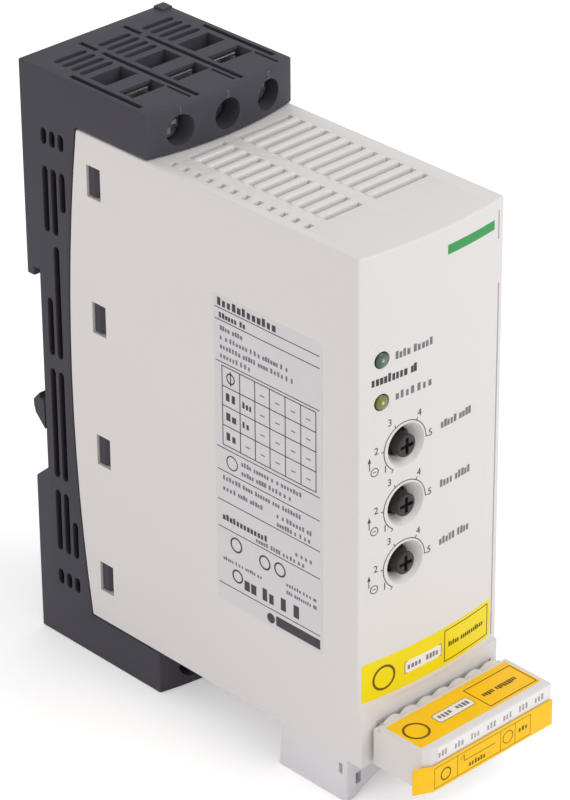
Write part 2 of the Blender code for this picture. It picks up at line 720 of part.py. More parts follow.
def control_plug():
    """The pull-off plug: seven round-topped cells behind, wire openings below and screws in front."""
    x, z, d = PLUG_X, PLUG_Z, PLUG_D
    step = d[0] + CELL_LENGTH
    low = z[1] - 1.4
    side = [(d[0], z[0]), (d[1], z[0]), (d[1], z[1]), (step, z[1]), (step, low), (d[0], low)]
    plug = prism("side", [side], *x)
    chamfer = [(x[0] - 1, d[1] - 2.0), (x[0] - 1, d[1] + 1.2), (x[0] + 3.65, d[1] + 1.2)]
    cut(plug, prism("plan", [chamfer], z[0] - 1, z[1] + 1))
    round_edges(plug, 0.35)
    half = CELL_PITCH / 2
    valley = z[1] - 1.1
    cells = [(CELL_X[-1] + half, low - 1)]
    for middle in reversed(CELL_X):
        cells += arc((middle + half, valley), (middle - half, valley), valley - CELL_TOP, 6)[:-1]
    cells += [(CELL_X[0] - half, valley), (CELL_X[0] - half, low - 1)]
    tongue = box((x[0] + 3.0, x[1] - 2.9), (HEADER_FLOOR + 0.4, d[0] + 1), (PIN_Z - 3, PIN_Z + 3))
    join(plug, prism("front", [cells], d[0] + 0.4, step + 0.6), tongue)
    wire = CELL_PITCH / 2 - 0.85
    openings = [rectangle((middle - wire, middle + wire), (d[0] + 5.6, d[0] + 9.2)) for middle in CELL_X]
    cut(plug, prism("plan", openings, z[0] - 1, z[1] - 4.4))
    cut(plug, *[rod(middle, PIN_Z, (HEADER_FLOOR - 0.2, HEADER_FLOOR + 5.0), 0.7, segments=10) for middle in CELL_X])
    screw_z = z[0] + 3.6
    floor = d[1] - 6.2
    cut(plug, *[rod(middle, screw_z, (floor, d[1] + 1.2), 1.8, segments=14) for middle in CELL_X])
    finish(plug, "control_plug", CREAM_PLASTIC, point((x[0] + x[1]) / 2, d[0], PIN_Z))
    for number, middle in enumerate(CELL_X, 1):
        screw = rod(middle, screw_z, (floor + GAP, floor + 2.0), 1.5, segments=14)
        cut(screw, box((middle - 2, middle + 2), (floor + 1.4, floor + 2.4), (screw_z - 0.3, screw_z + 0.3)))
        finish(screw, f"control_screw_{number}", ZINC_STEEL)


def plug_front_label():
    """The stiff label glued on the plug's front, its left end bent back."""
    inner = PLUG_D[1] + GAP
    right, bend, end, back = PLUG_X[1] - 0.2, PLUG_X[0] + 1.9, 0.5 - HALF, 2.2
    outline = [(right, inner), (right, DEPTH), (bend, DEPTH), (end, DEPTH - back)]
    outline += [(end + 0.2, DEPTH - back - LABEL_THICK), (bend, inner)]
    label = prism("plan", [outline], PLUG_Z[0] + 0.1, PLUG_Z[0] + 7.0)
    return finish(label, "plug_front_label", LABEL_ORANGE)


def control_header():
    """The shrouded pins on the board that the plug's tongue slides over."""
    header = box((PLUG_X[0] + 2.0, PLUG_X[1] - 2.1), (BOARD_FRONT + GAP, FRAME_FRONT - GAP), (14.2, 22.4))
    inside = (PLUG_X[0] + 2.7, PLUG_X[1] - 2.6)
    cut(header, box(inside, (HEADER_FLOOR, FRAME_FRONT + 1), (PIN_Z - 3 - GAP, PIN_Z + 3 + GAP)))
    pins = [rod(middle, PIN_Z, (HEADER_FLOOR - 0.7, FRAME_FRONT - 0.7), 0.4, segments=8) for middle in CELL_X]
    join(header, *pins)
    return finish(header, "control_header", DARK_PLASTIC)


def boards():
    d = (BOARD_FRONT - BOARD_THICK, BOARD_FRONT)
    top = COVER_TOP - 10.9
    finish(box((3.0 - HALF, HALF - 3.0), d, (COVER_BOTTOM + 2.9, top)), "control_board", BOARD_GREEN)
    side = (MAIN_BOARD_X - BOARD_THICK, MAIN_BOARD_X)
    finish(box(side, (22, d[0] - 0.9), (COVER_BOTTOM + 10.4, top)), "main_board", BOARD_GREEN)


def bypass_relay(number, z):
    right = MAIN_BOARD_X - BOARD_THICK - GAP
    relay = box((right - 14.4, right), (40, 68), (z, z + RELAY_HEIGHT))
    round_edges(relay, 0.8)
    return finish(relay, f"bypass_relay_{number}", BLUE_PLASTIC)


def heat_sink():
    """An extruded comb: a plate with nine fins that reach to the base's rear wall."""
    half = HALF - HOUSING_WALL - GAP
    tip, root, front, thick = 6.9, 12.6, SINK_FRONT, 1.4
    pitch = (2 * half - thick) / (FINS - 1)
    comb = [(half, front), (-half, front)]
    for number in range(FINS):
        left = -half + pitch * number
        comb += [(left, root), (left, tip), (left + thick, tip), (left + thick, root)]
    comb = [comb[0], comb[1]] + comb[3:-1]
    return finish(prism("plan", [comb], COVER_BOTTOM + 12.4, COVER_TOP - 11.9), "heat_sink", ALUMINIUM)


def power_module(number, side):
    x = sorted((side * 2.0, side * (HALF - 6.5)))
    module = box(x, (SINK_FRONT + GAP, SINK_FRONT + 6.3), (MIDDLE_Z - 15, MIDDLE_Z + 15))
    round_edges(module, 0.6)
    return finish(module, f"power_module_{number}", DARK_PLASTIC)


clear_scene()
PARTS = bpy.data.collections.new("soft_starter")
bpy.context.scene.collection.children.link(PARTS)

DARK_PLASTIC = material("dark_plastic", "#525055", 0.55)
CREAM_PLASTIC = material("cream_plastic", "#DEDAD4", 0.5)
KNOB_PLASTIC = material("knob_plastic", "#2B2829", 0.45)
BLUE_PLASTIC = material("blue_plastic", "#2F5E9E", 0.5)
GREEN_LENS = material("green_lens", "#3E6E5E", 0.25)
YELLOW_LENS = material("yellow_lens", "#8E8B2E", 0.25)
LABEL_ORANGE = material("label_orange", "#FDC70A", 0.45)
BOARD_GREEN = material("board_green", "#2C6B3F", 0.5)
ZINC_STEEL = material("zinc_steel", "#B9BBBD", 0.35, 1.0)
SPRING_STEEL = material("spring_steel", "#8E9092", 0.3, 1.0)
TINNED_COPPER = material("tinned_copper", "#B9A48E", 0.35, 1.0)
ALUMINIUM = material("aluminium", "#A9ABAD", 0.45, 1.0)

base_housing()
front_cover()
rail_latch()
latch_spring()
terminals()
lamp_lens(*LAMPS[0], GREEN_LENS)
lamp_lens(*LAMPS[1], YELLOW_LENS)
for knob_number, knob_z in enumerate(KNOB_Z, 1):
    trimmer(knob_number, knob_z)
control_plug()
plug_front_label()
control_header()
boards()
bypass_relay(1, COVER_BOTTOM + 18.4)
bypass_relay(2, COVER_TOP - 23.9 - RELAY_HEIGHT)
heat_sink()
power_module(1, -1)
power_module(2, 1)
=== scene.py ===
# %% [markdown]
# # A soft starter for a small motor
# The unit is a slim box that snaps onto a rail in a switchgear cabinet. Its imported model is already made, and this
# notebook dresses it: finer edges, moulded and metal finishes, films, print and a studio round it. Every length is
# written in millimetres and turned to metres when a point is placed.

import json
import math

import bmesh
import bpy
from mathutils import Matrix, Vector


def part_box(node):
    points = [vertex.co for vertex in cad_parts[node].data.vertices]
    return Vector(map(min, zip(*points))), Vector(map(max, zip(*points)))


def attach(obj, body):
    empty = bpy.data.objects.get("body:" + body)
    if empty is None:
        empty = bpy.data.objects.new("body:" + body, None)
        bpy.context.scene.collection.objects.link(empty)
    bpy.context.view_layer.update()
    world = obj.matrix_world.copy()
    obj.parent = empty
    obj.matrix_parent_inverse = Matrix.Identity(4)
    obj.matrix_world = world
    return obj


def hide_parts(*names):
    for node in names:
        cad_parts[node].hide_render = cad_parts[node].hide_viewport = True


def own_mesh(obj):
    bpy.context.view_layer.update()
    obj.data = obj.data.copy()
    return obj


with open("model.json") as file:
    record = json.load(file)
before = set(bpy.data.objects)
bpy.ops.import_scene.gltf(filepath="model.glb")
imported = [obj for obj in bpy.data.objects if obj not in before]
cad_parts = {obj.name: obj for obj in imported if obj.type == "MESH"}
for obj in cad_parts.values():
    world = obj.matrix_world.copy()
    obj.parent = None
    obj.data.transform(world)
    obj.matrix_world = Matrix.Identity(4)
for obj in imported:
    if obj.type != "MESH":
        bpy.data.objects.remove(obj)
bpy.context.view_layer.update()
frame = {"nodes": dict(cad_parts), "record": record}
MM = 0.001

# %% [markdown]
# ## Places on the unit
# The sizes are those of the model. A place is given by x from the middle, d forward from the rear face and z up from
# the table, because that is how a fitter would measure the unit. The front is slightly bowed from side to side, so
# whatever is printed on it has to follow that bow.

# %% Sizes and places
HALF_WIDTH = 22.5
HALF_DEPTH = 65.25
HEIGHT = 153.5
COVER_TOP = 141.9
FACE_SIDE = 111.0
FACE_MIDDLE = 113.0
PLUG_TOP = 23.4
PLUG_FRONT = 129.8
LABEL_FRONT = 130.5


def place(x, d, z):
    return Vector((x, HALF_DEPTH - d, z)) * MM


def bowed(x, side, middle):
    """The depth at x of a face that is bowed from side, at both its edges, to middle."""
    rise = middle - side
    radius = (HALF_WIDTH ** 2 + rise ** 2) / (2 * rise)
    return middle - radius + math.sqrt(max(radius ** 2 - x ** 2, 0))


def in_scene(name, data):
    """A new object in the scene, at the origin."""
    thing = bpy.data.objects.new(name, data)
    bpy.context.scene.collection.objects.link(thing)
    return thing


print("front at a quarter of the width:", round(bowed(HALF_WIDTH / 2, FACE_SIDE, FACE_MIDDLE), 2), "mm")

# %% [markdown]
# ## Camera
# A product picture like this is taken from far away with a long lens, so that upright edges stay nearly parallel. The
# camera stands left of the front and above it. Its turn is built from three directions: backward, across and upward.

# %% Camera
AZIMUTH, ELEVATION, ROLL = (math.radians(angle) for angle in (-43.51, 29.21, -0.45))
CAMERA_DISTANCE = 886.7
FOCAL_LENGTH = 171.8
SENSOR_WIDTH = 36.0
AIM = (0, 5.25, 77)
AIM_RIGHT, AIM_UP = 2.94, 1.64
backward = Vector((
    math.sin(AZIMUTH) * math.cos(ELEVATION), -math.cos(AZIMUTH) * math.cos(ELEVATION), math.sin(ELEVATION),
))
level_right = Vector((math.cos(AZIMUTH), math.sin(AZIMUTH), 0))
level_up = backward.cross(level_right)
across = math.cos(ROLL) * level_right + math.sin(ROLL) * level_up
upward = math.cos(ROLL) * level_up - math.sin(ROLL) * level_right
aim = Vector(AIM) * MM + (AIM_RIGHT * level_right + AIM_UP * level_up) * MM

lens_data = bpy.data.cameras.new("studio_camera")
lens_data.lens = FOCAL_LENGTH
lens_data.sensor_width = SENSOR_WIDTH
camera = in_scene("studio_camera", lens_data)
turned = Matrix((across, upward, backward)).transposed().to_4x4()
camera.matrix_world = Matrix.Translation(aim + backward * CAMERA_DISTANCE * MM) @ turned
bpy.context.scene.camera = camera
bpy.context.scene.view_settings.view_transform = "Standard"
print("camera at", [round(value, 3) for value in camera.matrix_world.translation])

# %% [markdown]
# ## Building materials and trees
# Materials and Geometry Nodes are both trees of nodes. One small function adds a node: it sets the node's options and
# fills its inputs, with a value, with another node, whose first output is linked, or with a named output of one.
# Colours are written as they look on a screen, and one function turns them to the linear values that the shader needs.

# %% Colours and nodes


def linear(colour):
    channels = [int(colour[start:start + 2], 16) / 255 for start in (1, 3, 5)]
    return (*(c / 12.92 if c <= 0.04045 else ((c + 0.055) / 1.055) ** 2.4 for c in channels), 1.0)


def add(tree, kind, inputs=None, **options):
    """Adds a node, sets its options and fills its inputs with values, nodes or other nodes' sockets."""
    made = tree.nodes.new(kind)
    for name, value in options.items():
        setattr(made, name, value)
    for name, value in (inputs or {}).items():
        if isinstance(value, bpy.types.Node):
            value = value.outputs[0]
        if isinstance(value, bpy.types.NodeSocket):
            tree.links.new(value, made.inputs[name])
        else:
            made.inputs[name].default_value = value
    return made


def new_material(name):
    """An empty material tree with its output: the material, its tree and its output node."""
    made = bpy.data.materials.new(name)
    made.use_nodes = True
    tree = made.node_tree
    tree.nodes.clear()
    return made, tree, add(tree, "ShaderNodeOutputMaterial")


print("cream in linear values:", [round(value, 3) for value in linear("#DEDAD4")])

# %% [markdown]
# ## Studio
# The unit stands on a pale table in soft light from all round, with one large lamp high in front on the right and a
# weaker, slightly warm one on the left. The sky is white for the camera and for reflections, and dimmer as a lamp, so
# that colours come out as they are written and shadows stay soft.

# %% Sky
SKY_AS_LAMP = 0.66


def is_seen(tree):
    """1 for rays that show a surface or the sky to the camera, straight or by a reflection, else 0."""
    path = add(tree, "ShaderNodeLightPath")
    straight, mirrored, passed = (path.outputs[f"Is {kind} Ray"] for kind in ("Camera", "Glossy", "Transmission"))
    either = add(tree, "ShaderNodeMath", {0: straight, 1: mirrored}, operation="MAXIMUM")
    return add(tree, "ShaderNodeMath", {0: either, 1: passed}, operation="MAXIMUM")


sky = bpy.data.worlds.new("studio_sky")
sky.use_nodes = True
sky.node_tree.nodes.clear()
seen = is_seen(sky.node_tree)
dim = add(sky.node_tree, "ShaderNodeBackground", {"Color": linear("#FFFFFF"), "Strength": SKY_AS_LAMP})
white = add(sky.node_tree, "ShaderNodeBackground", {"Color": linear("#FFFFFF"), "Strength": 1.0})
mixed = add(sky.node_tree, "ShaderNodeMixShader", {0: seen, 1: dim, 2: white})
add(sky.node_tree, "ShaderNodeOutputWorld", {"Surface": mixed})
bpy.context.scene.world = sky
print("sky as a lamp:", SKY_AS_LAMP)

# %% Lamps


def soft_lamp(name, direction, distance, size, power, colour):
    """A square lamp that looks at the unit's middle; its distance and size are in metres and its power in watts."""
    data = bpy.data.lights.new(name, "AREA")
    data.shape = "SQUARE"
    data.size = size
    data.energy = power
    data.color = linear(colour)[:3]
    lamp = in_scene(name, data)
    towards = Vector(direction).normalized()
    lamp.location = Vector((0, 0, HEIGHT / 2 * MM)) + towards * distance
    lamp.rotation_euler = towards.to_track_quat("Z", "Y").to_euler()


soft_lamp("front_lamp", (0.45, -0.9, 0.85), 1.5, 1.1, 8.6, "#FFFFFF")
soft_lamp("side_lamp", (-1.0, -0.1, 0.25), 1.6, 1.0, 3.8, "#FFF1EA")

# %% [markdown]
# The table is a sheet of white laminate. It is one large face, so a mesh of four corners does. What the camera sees
# of it is lifted to white, while the soft shadow of the unit stays.

# %% Table
TABLE_LIFT = 0.34
REACH = 3.0
table_white, tree, output = new_material("white_laminate")
coarse = add(tree, "ShaderNodeTexNoise", {"Scale": 30.0, "Detail": 3.0})
tone = add(tree, "ShaderNodeMapRange", {"Value": coarse, "To Min": 0.93, "To Max": 0.96})
tint = add(tree, "ShaderNodeCombineColor", {channel: tone.outputs[0] for channel in ("Red", "Green", "Blue")})
laminate = add(tree, "ShaderNodeBsdfPrincipled", {"Base Color": tint, "Roughness": 0.7})
lift = add(tree, "ShaderNodeMath", {0: is_seen(tree), 1: TABLE_LIFT}, operation="MULTIPLY")
glow = add(tree, "ShaderNodeEmission", {"Strength": lift})
lifted = add(tree, "ShaderNodeAddShader", {0: laminate, 1: glow})
tree.links.new(lifted.outputs[0], output.inputs["Surface"])

table_mesh = bpy.data.meshes.new("table")
corners = [(-REACH, -REACH, 0), (REACH, -REACH, 0), (REACH, REACH, 0), (-REACH, REACH, 0)]
table_mesh.from_pydata(corners, [], [(0, 1, 2, 3)])
table_mesh.materials.append(table_white)
table = in_scene("table", table_mesh)
print("table:", 2 * REACH, "m square")

# %% [markdown]
# ## Finishes
# Most of the unit is injection-moulded plastic. The steel mould is spark-eroded, which leaves a fine even grain on
# every outer face: it breaks up the shine and hides flow marks. The recipe below gives a grain in the bump, and
# drifts of tone and roughness that follow the grain and change slowly over a few centimetres.

# %% Helpers for finishes
# Two noises added together run over about this span.
SUM_SPAN = (0.6, 1.4)


def spread(source, span, low, high):
    """Settings that turn source, as it runs over span, into a value from low to high."""
    return {"Value": source, "From Min": span[0], "From Max": span[1], "To Min": low, "To Max": high}


def drifting(tree, colour, source, span, low, high):
    """A colour, or a link to one, made darker and lighter between low and high as source runs over span."""
    change = add(tree, "ShaderNodeMapRange", spread(source, span, low, high))
    shaded = {"Factor": 1.0, 6: colour, 7: change}
    return add(tree, "ShaderNodeMix", shaded, data_type="RGBA", blend_type="MULTIPLY").outputs[2]


def blended(tree, share, first, second):
    """A colour that goes from first to second as share goes from 0 to 1."""
    pair = {"Factor": share, 6: linear(first), 7: linear(second)}
    return add(tree, "ShaderNodeMix", pair, data_type="RGBA").outputs[2]


def covered(made, tree, output, settings):
    """Ends a material with the shader for its surface."""
    skin = add(tree, "ShaderNodeBsdfPrincipled", settings)
    tree.links.new(skin.outputs[0], output.inputs["Surface"])
    return made


print("span of two noises:", SUM_SPAN)

# %% Moulded plastics
GRAIN = 0.55
SLOW_DRIFT = 28.0
# Heights over which the cover's painted light tint on the foot fades out.
THIN_FOOT = (7.0, 15.0)
# Where the housing's painted vent shade lies: VENT_SKIN across, VENT_DEPTH from the rear with VENT_REACH, and
# VENT_RISE above and below the middle height.
VENT_SKIN = (21.4, 22.35)
VENT_DEPTH = 11.0
VENT_REACH = 5.0
VENT_RISE = 63.0


def moulded(name, colour, roughness, grain_height, ior, drift=0.012, shine=0.5, foot_light_tint=None, vent_shade=None):
    """A moulded plastic whose mould has a grain of GRAIN millimetres, drawn as coarse as it needs to show.

    The colour for the foot is painted light: the lilac tint that light passing through its narrow wall gives.
    The colour for the vents is painted shade on the walls inside the side vents, where little light comes back out.
    """
    made, tree, output = new_material(name)
    spot = add(tree, "ShaderNodeTexCoord").outputs["Object"]
    grains = {"Vector": spot, "Scale": 1 / (GRAIN * MM), "Detail": 3.0, "Roughness": 0.55}
    fine = add(tree, "ShaderNodeTexNoise", grains)
    slow = add(tree, "ShaderNodeTexNoise", {"Vector": spot, "Scale": 1 / (SLOW_DRIFT * MM), "Detail": 2.0})
    both = add(tree, "ShaderNodeMath", {0: slow, 1: fine}, operation="ADD")
    base = linear(colour)
    if foot_light_tint or vent_shade:
        where = add(tree, "ShaderNodeSeparateXYZ", {"Vector": spot})
    # Painted light: the foot is tinted lilac for the light that passes through its narrow wall, fully below the first
    # height of THIN_FOOT and fading out by the second.
    if foot_light_tint:
        foot, wall = THIN_FOOT
        share = add(tree, "ShaderNodeMapRange", spread(where.outputs["Z"], (foot * MM, wall * MM), 0.0, 1.0))
        base = blended(tree, share, foot_light_tint, colour)
    # Painted shade: faces nearer the middle than VENT_SKIN, close to the vents' middle depth and height, are darkened
    # towards the vent colour, fully below its first value.
    if vent_shade:
        inner, outer = VENT_SKIN
        beside = add(tree, "ShaderNodeMath", {0: where.outputs["X"]}, operation="ABSOLUTE")
        shade = add(tree, "ShaderNodeMapRange", spread(beside, (inner * MM, outer * MM), 1.0, 0.0))
        for axis, middle, reach in (("Y", HALF_DEPTH - VENT_DEPTH, VENT_REACH), ("Z", HEIGHT / 2, VENT_RISE)):
            close = {0: where.outputs[axis], 1: middle * MM, 2: reach * MM}
            near = add(tree, "ShaderNodeMath", close, operation="COMPARE")
            shade = add(tree, "ShaderNodeMath", {0: shade, 1: near}, operation="MULTIPLY")
        base = blended(tree, shade, colour, vent_shade)
    rough = add(tree, "ShaderNodeMapRange", spread(both, SUM_SPAN, roughness - 0.05, roughness + 0.05))
    bump = add(tree, "ShaderNodeBump", {"Strength": 0.5, "Distance": grain_height * MM, "Height": fine})
    return covered(made, tree, output, {
        "Base Color": drifting(tree, base, both, SUM_SPAN, 1.0 - drift, 1.0 + drift), "Roughness": rough,
        "Normal": bump, "IOR": ior, "Specular IOR Level": shine,
    })


# Glass-filled polyamide: dark grey, dull, with a coarser grain, because the fibres roughen the skin.
POLYAMIDE = moulded("polyamide_dark_grey", "#4B4952", 0.55, 0.05, 1.53, drift=0.05, shine=0.08)
# The housing's copy has painted shade on the walls inside its side vents.
HOUSING_PLASTIC = moulded("polyamide_housing", "#4B4952", 0.55, 0.05, 1.53, drift=0.05, shine=0.08, vent_shade="#2C2932")
# Polycarbonate blend: pale, with a silky sheen.
POLYCARBONATE = moulded("polycarbonate_blend_cream", "#DEDAD8", 0.46, 0.03, 1.57)
# The cover's copy has painted light on its foot: a lilac tint for light passing through the narrow wall.
COVER_PLASTIC = moulded("polycarbonate_blend_cover", "#DEDAD8", 0.46, 0.03, 1.57, foot_light_tint="#DDDAE0")
# The knobs are unfilled polyamide with a smoother skin, which shines a little.
KNOB_POLYAMIDE = moulded("polyamide_black_smooth", "#2B2727", 0.38, 0.01, 1.53, drift=0.06, shine=0.3)
# Thermoplastic polyester, used for relays, and the same in black for trimmers.
POLYESTER_BLUE = moulded("polyester_blue", "#2F5E9E", 0.45, 0.015, 1.57, drift=0.04)
POLYESTER_BLACK = moulded("polyester_black", "#232225", 0.5, 0.015, 1.57, drift=0.04)
# Unfilled polyamide in its own colour, slightly yellow, as pin headers are.
POLYAMIDE_PALE = moulded("polyamide_natural_white", "#D3CFC8", 0.45, 0.02, 1.53)
print("plastics:", [material.name for material in bpy.data.materials if material.name.startswith("poly")])

# %% [markdown]
# Metal parts are zinc-plated steel, tinned copper and an aluminium extrusion. Plating follows the sheet below it, so
# it shows the fine lines of rolling and small differences in shine. A metal keeps the default IOR: its colour is the
# colour of its reflection.

# %% Metals
CLOUD = 2.5
LINE_HEIGHT = 0.01


def plated(name, colour, roughness, line, stretch):
    """A metal whose fine lines, line millimetres wide, are stretched by stretch along x, y and z."""
    made, tree, output = new_material(name)
    spot = add(tree, "ShaderNodeTexCoord").outputs["Object"]
    drawn = add(tree, "ShaderNodeMapping", {"Vector": spot, "Scale": stretch})
    lines = add(tree, "ShaderNodeTexNoise", {"Vector": drawn, "Scale": 1 / (line * MM), "Detail": 2.0})
    cloud = add(tree, "ShaderNodeTexNoise", {"Vector": spot, "Scale": 1 / (CLOUD * MM), "Detail": 2.0})
    both = add(tree, "ShaderNodeMath", {0: lines, 1: cloud}, operation="ADD")
    rough = add(tree, "ShaderNodeMapRange", spread(both, SUM_SPAN, roughness - 0.08, roughness + 0.08))
    bump = add(tree, "ShaderNodeBump", {"Strength": 0.3, "Distance": LINE_HEIGHT * MM, "Height": lines})
    return covered(made, tree, output, {
        "Base Color": drifting(tree, linear(colour), both, SUM_SPAN, 0.9, 1.08), "Roughness": rough,
        "Normal": bump, "Metallic": 1.0,
    })


# Zinc is plated over folded sheet, so its lines run every way. The other three are drawn, with their lines along z.
ZINC_PLATED_STEEL = plated("zinc_plated_steel", "#D2D4D6", 0.3, 0.3, (1, 1, 1))
SPRING_WIRE = plated("drawn_spring_wire", "#8E9092", 0.3, 0.2, (1, 1, 0.2))
TINNED_COPPER = plated("tinned_copper_bar", "#C9BFB2", 0.3, 0.25, (1, 1, 0.15))
EXTRUDED_ALUMINIUM = plated("extruded_aluminium", "#A9ABAD", 0.42, 0.4, (1, 1, 0.05))
print("metals:", [metal.name for metal in (ZINC_PLATED_STEEL, SPRING_WIRE, TINNED_COPPER, EXTRUDED_ALUMINIUM)])

# %% [markdown]
# The lamps are light pipes of clear acrylic with a tint. Unlit, such a pipe looks like dark glass with a bright point;
# here that point is a painted highlight in its colour, and its rim has painted shade. Labels are polyester film with a
# printed colour and a soft gloss, and ink is a thin dull layer on top.

# %% Lenses, film, ink and board
FILM_WAVE = 0.01
LENS_RADIUS = 2.25


def coated(name, colour, roughness, spot_size, drift, coat=0.0):
    """A film, ink or lacquer: a colour that drifts over spot_size millimetres, dull or with a clear coat."""
    made, tree, output = new_material(name)
    spot = add(tree, "ShaderNodeTexCoord").outputs["Object"]
    slow = add(tree, "ShaderNodeTexNoise", {"Vector": spot, "Scale": 1 / (spot_size * MM), "Detail": 3.0})
    bump = add(tree, "ShaderNodeBump", {"Strength": 0.2, "Distance": FILM_WAVE * MM, "Height": slow})
    return covered(made, tree, output, {
        "Base Color": drifting(tree, linear(colour), slow, (0.3, 0.7), 1.0 - drift, 1.0 + drift),
        "Roughness": roughness, "Normal": bump, "Coat Weight": coat, "Specular IOR Level": 0.3,
    })


def light_pipe(name, node, painted_highlight, glass, rim):
    """Tinted acrylic: a painted highlight at its middle, the glass round it darker, and painted shade at the rim,
    darkest.
    """
    made, tree, output = new_material(name)
    low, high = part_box(node)
    middle = [(near + far) / 2 for near, far in zip(low, high)]
    spot = add(tree, "ShaderNodeTexCoord").outputs["Object"]
    centred = add(tree, "ShaderNodeMapping", {"Vector": spot, "Location": [-value for value in middle]})
    flat = add(tree, "ShaderNodeVectorMath", {0: centred, 1: (1, 0, 1)}, operation="MULTIPLY")
    reach = add(tree, "ShaderNodeVectorMath", {0: flat}, operation="LENGTH")
    cloud = add(tree, "ShaderNodeTexNoise", {"Vector": spot, "Scale": 1 / (0.8 * MM), "Detail": 2.0})
    waves = {0: cloud, 1: 0.4 * MM, 2: reach.outputs["Value"]}
    wavy = add(tree, "ShaderNodeMath", waves, operation="MULTIPLY_ADD")
    share = add(tree, "ShaderNodeMapRange", spread(wavy, (0.2 * MM, LENS_RADIUS * MM), 0.0, 1.0))
    tinted = add(tree, "ShaderNodeValToRGB", {"Fac": share})
    bands = tinted.color_ramp.elements
    bands[0].position, bands[0].color = 0.06, linear(painted_highlight)
    bands[1].position, bands[1].color = 0.95, linear(rim)
    for position in (0.3, 0.7):
        bands.new(position).color = linear(glass)
    return covered(made, tree, output, {
        "Base Color": tinted, "Roughness": 0.15, "IOR": 1.49, "Coat Weight": 0.2, "Coat Roughness": 0.05,
    })


# The first colour of each pipe is a painted highlight at its middle, the last painted shade at its rim.
ACRYLIC_GREEN = light_pipe("acrylic_light_pipe_green", "power_lens", "#9CC0B0", "#36544B", "#1E2A27")
ACRYLIC_YELLOW = light_pipe("acrylic_light_pipe_yellow", "run_lens", "#D6D45A", "#6F6F22", "#393918")
FILM_YELLOW = coated("polyester_film_yellow", "#F2DC0A", 0.4, 6.0, 0.02)
FILM_ORANGE = coated("polyester_film_orange", "#FDC70A", 0.4, 6.0, 0.02)
FILM_WHITE = coated("polyester_film_white", "#EEECEA", 0.4, 5.0, 0.02)
INK_PALE = coated("pad_print_ink_pale", "#A3A1A6", 0.6, 1.0, 0.06)
INK_GREY = coated("pad_print_ink_grey", "#78767D", 0.6, 1.0, 0.08)
INK_DARK = coated("pad_print_ink_dark", "#413F45", 0.6, 1.0, 0.08)
INK_GREEN = coated("pad_print_ink_green", "#38964F", 0.5, 3.0, 0.03)
INK_BROWN = coated("pad_print_ink_brown", "#6B5210", 0.6, 1.0, 0.06)
FILM_SILVER = coated("polyester_film_matt_silver", "#D8D5D9", 0.5, 6.0, 0.012)
MOULD_MARK = coated("laser_mark_on_polyamide", "#62606A", 0.6, 1.0, 0.08)
SOLDER_MASK = coated("epoxy_board_green", "#2C6B3F", 0.35, 1.2, 0.08, coat=0.3)
print("materials:", len(bpy.data.materials))

# %% [markdown]
# ## Finer edges
# A mould has no knife edges: every rim is rounded by a tenth of a millimetre or two, and that rim catches the light.
# A node of the model is loose triangles, so a copy of it is merged, its flat areas become whole faces again, and a
# narrow bevel rounds the sharp edges. The copy then stands for the node on the same body.

# %% Dressed copies of the nodes
BODY_OF = {node: body for body, nodes in frame["record"]["behaviour"]["bodies"].items() for node in nodes}


def dressed(node, look, edge=0.0, segments=2, smooth=32, rims=()):
    """A merged copy of a node with rounded edges and a finish, which replaces it.

    rims are pairs of a test and a radius: edges whose middle, in millimetres, passes get that wider rounding first.
    """
    mesh = frame["nodes"][node].data.copy()
    shape = bmesh.new()
    shape.from_mesh(mesh)
    bmesh.ops.remove_doubles(shape, verts=shape.verts, dist=0.001 * MM)
    bmesh.ops.dissolve_limit(
        shape, angle_limit=math.radians(0.4), verts=shape.verts, edges=shape.edges, delimit={"NORMAL"}
    )
    for test, radius in rims:
        wide = []
        for rim in shape.edges:
            middle = (rim.verts[0].co + rim.verts[1].co) / 2 / MM
            if len(rim.link_faces) == 2 and rim.calc_face_angle() > math.radians(60) and test(middle):
                wide.append(rim)
        bmesh.ops.bevel(
            shape, geom=wide, offset=radius * MM, segments=3, profile=0.5, affect="EDGES", clamp_overlap=True
        )
    shape.to_mesh(mesh)
    shape.free()
    if mesh.has_custom_normals:
        mesh.attributes.remove(mesh.attributes["custom_normal"])
    mesh.shade_smooth()
    mesh.set_sharp_from_angle(angle=math.radians(smooth))
    mesh.materials.clear()
    mesh.materials.append(look)
    piece = in_scene(node + "_dressed", mesh)
    if edge:
        bevel = piece.modifiers.new("rounded_edges", "BEVEL")
        bevel.width = edge * MM
        bevel.segments = segments
        bevel.limit_method = "ANGLE"
        bevel.angle_limit = math.radians(35)
        bevel.harden_normals = True
    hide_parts(node)
    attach(piece, BODY_OF[node])
    return piece


NEAR = 0.02
LOUVRE_MARGIN = 1.8
LOUVRES = (47, 93)
PLUG_AREA_TOP = 60


def louvre_rim(middle):
    """The upper rims of the louvres, which are well rounded so that air passes."""
    inside = abs(middle.x) < HALF_WIDTH - LOUVRE_MARGIN and LOUVRES[0] < HALF_DEPTH - middle.y < LOUVRES[1]
    return inside and abs(middle.z - COVER_TOP) < NEAR


def outer_corner(middle):
    """The long outer edges of the cover: along its top, on both sides and in front, and down the front's sides."""
    depth = HALF_DEPTH - middle.y
    beside = abs(abs(middle.x) - HALF_WIDTH) < NEAR
    if abs(middle.z - COVER_TOP) < NEAR:
        return beside or depth > FACE_SIDE - 0.1
    return beside and abs(depth - FACE_SIDE) < 0.1 and middle.z > PLUG_AREA_TOP


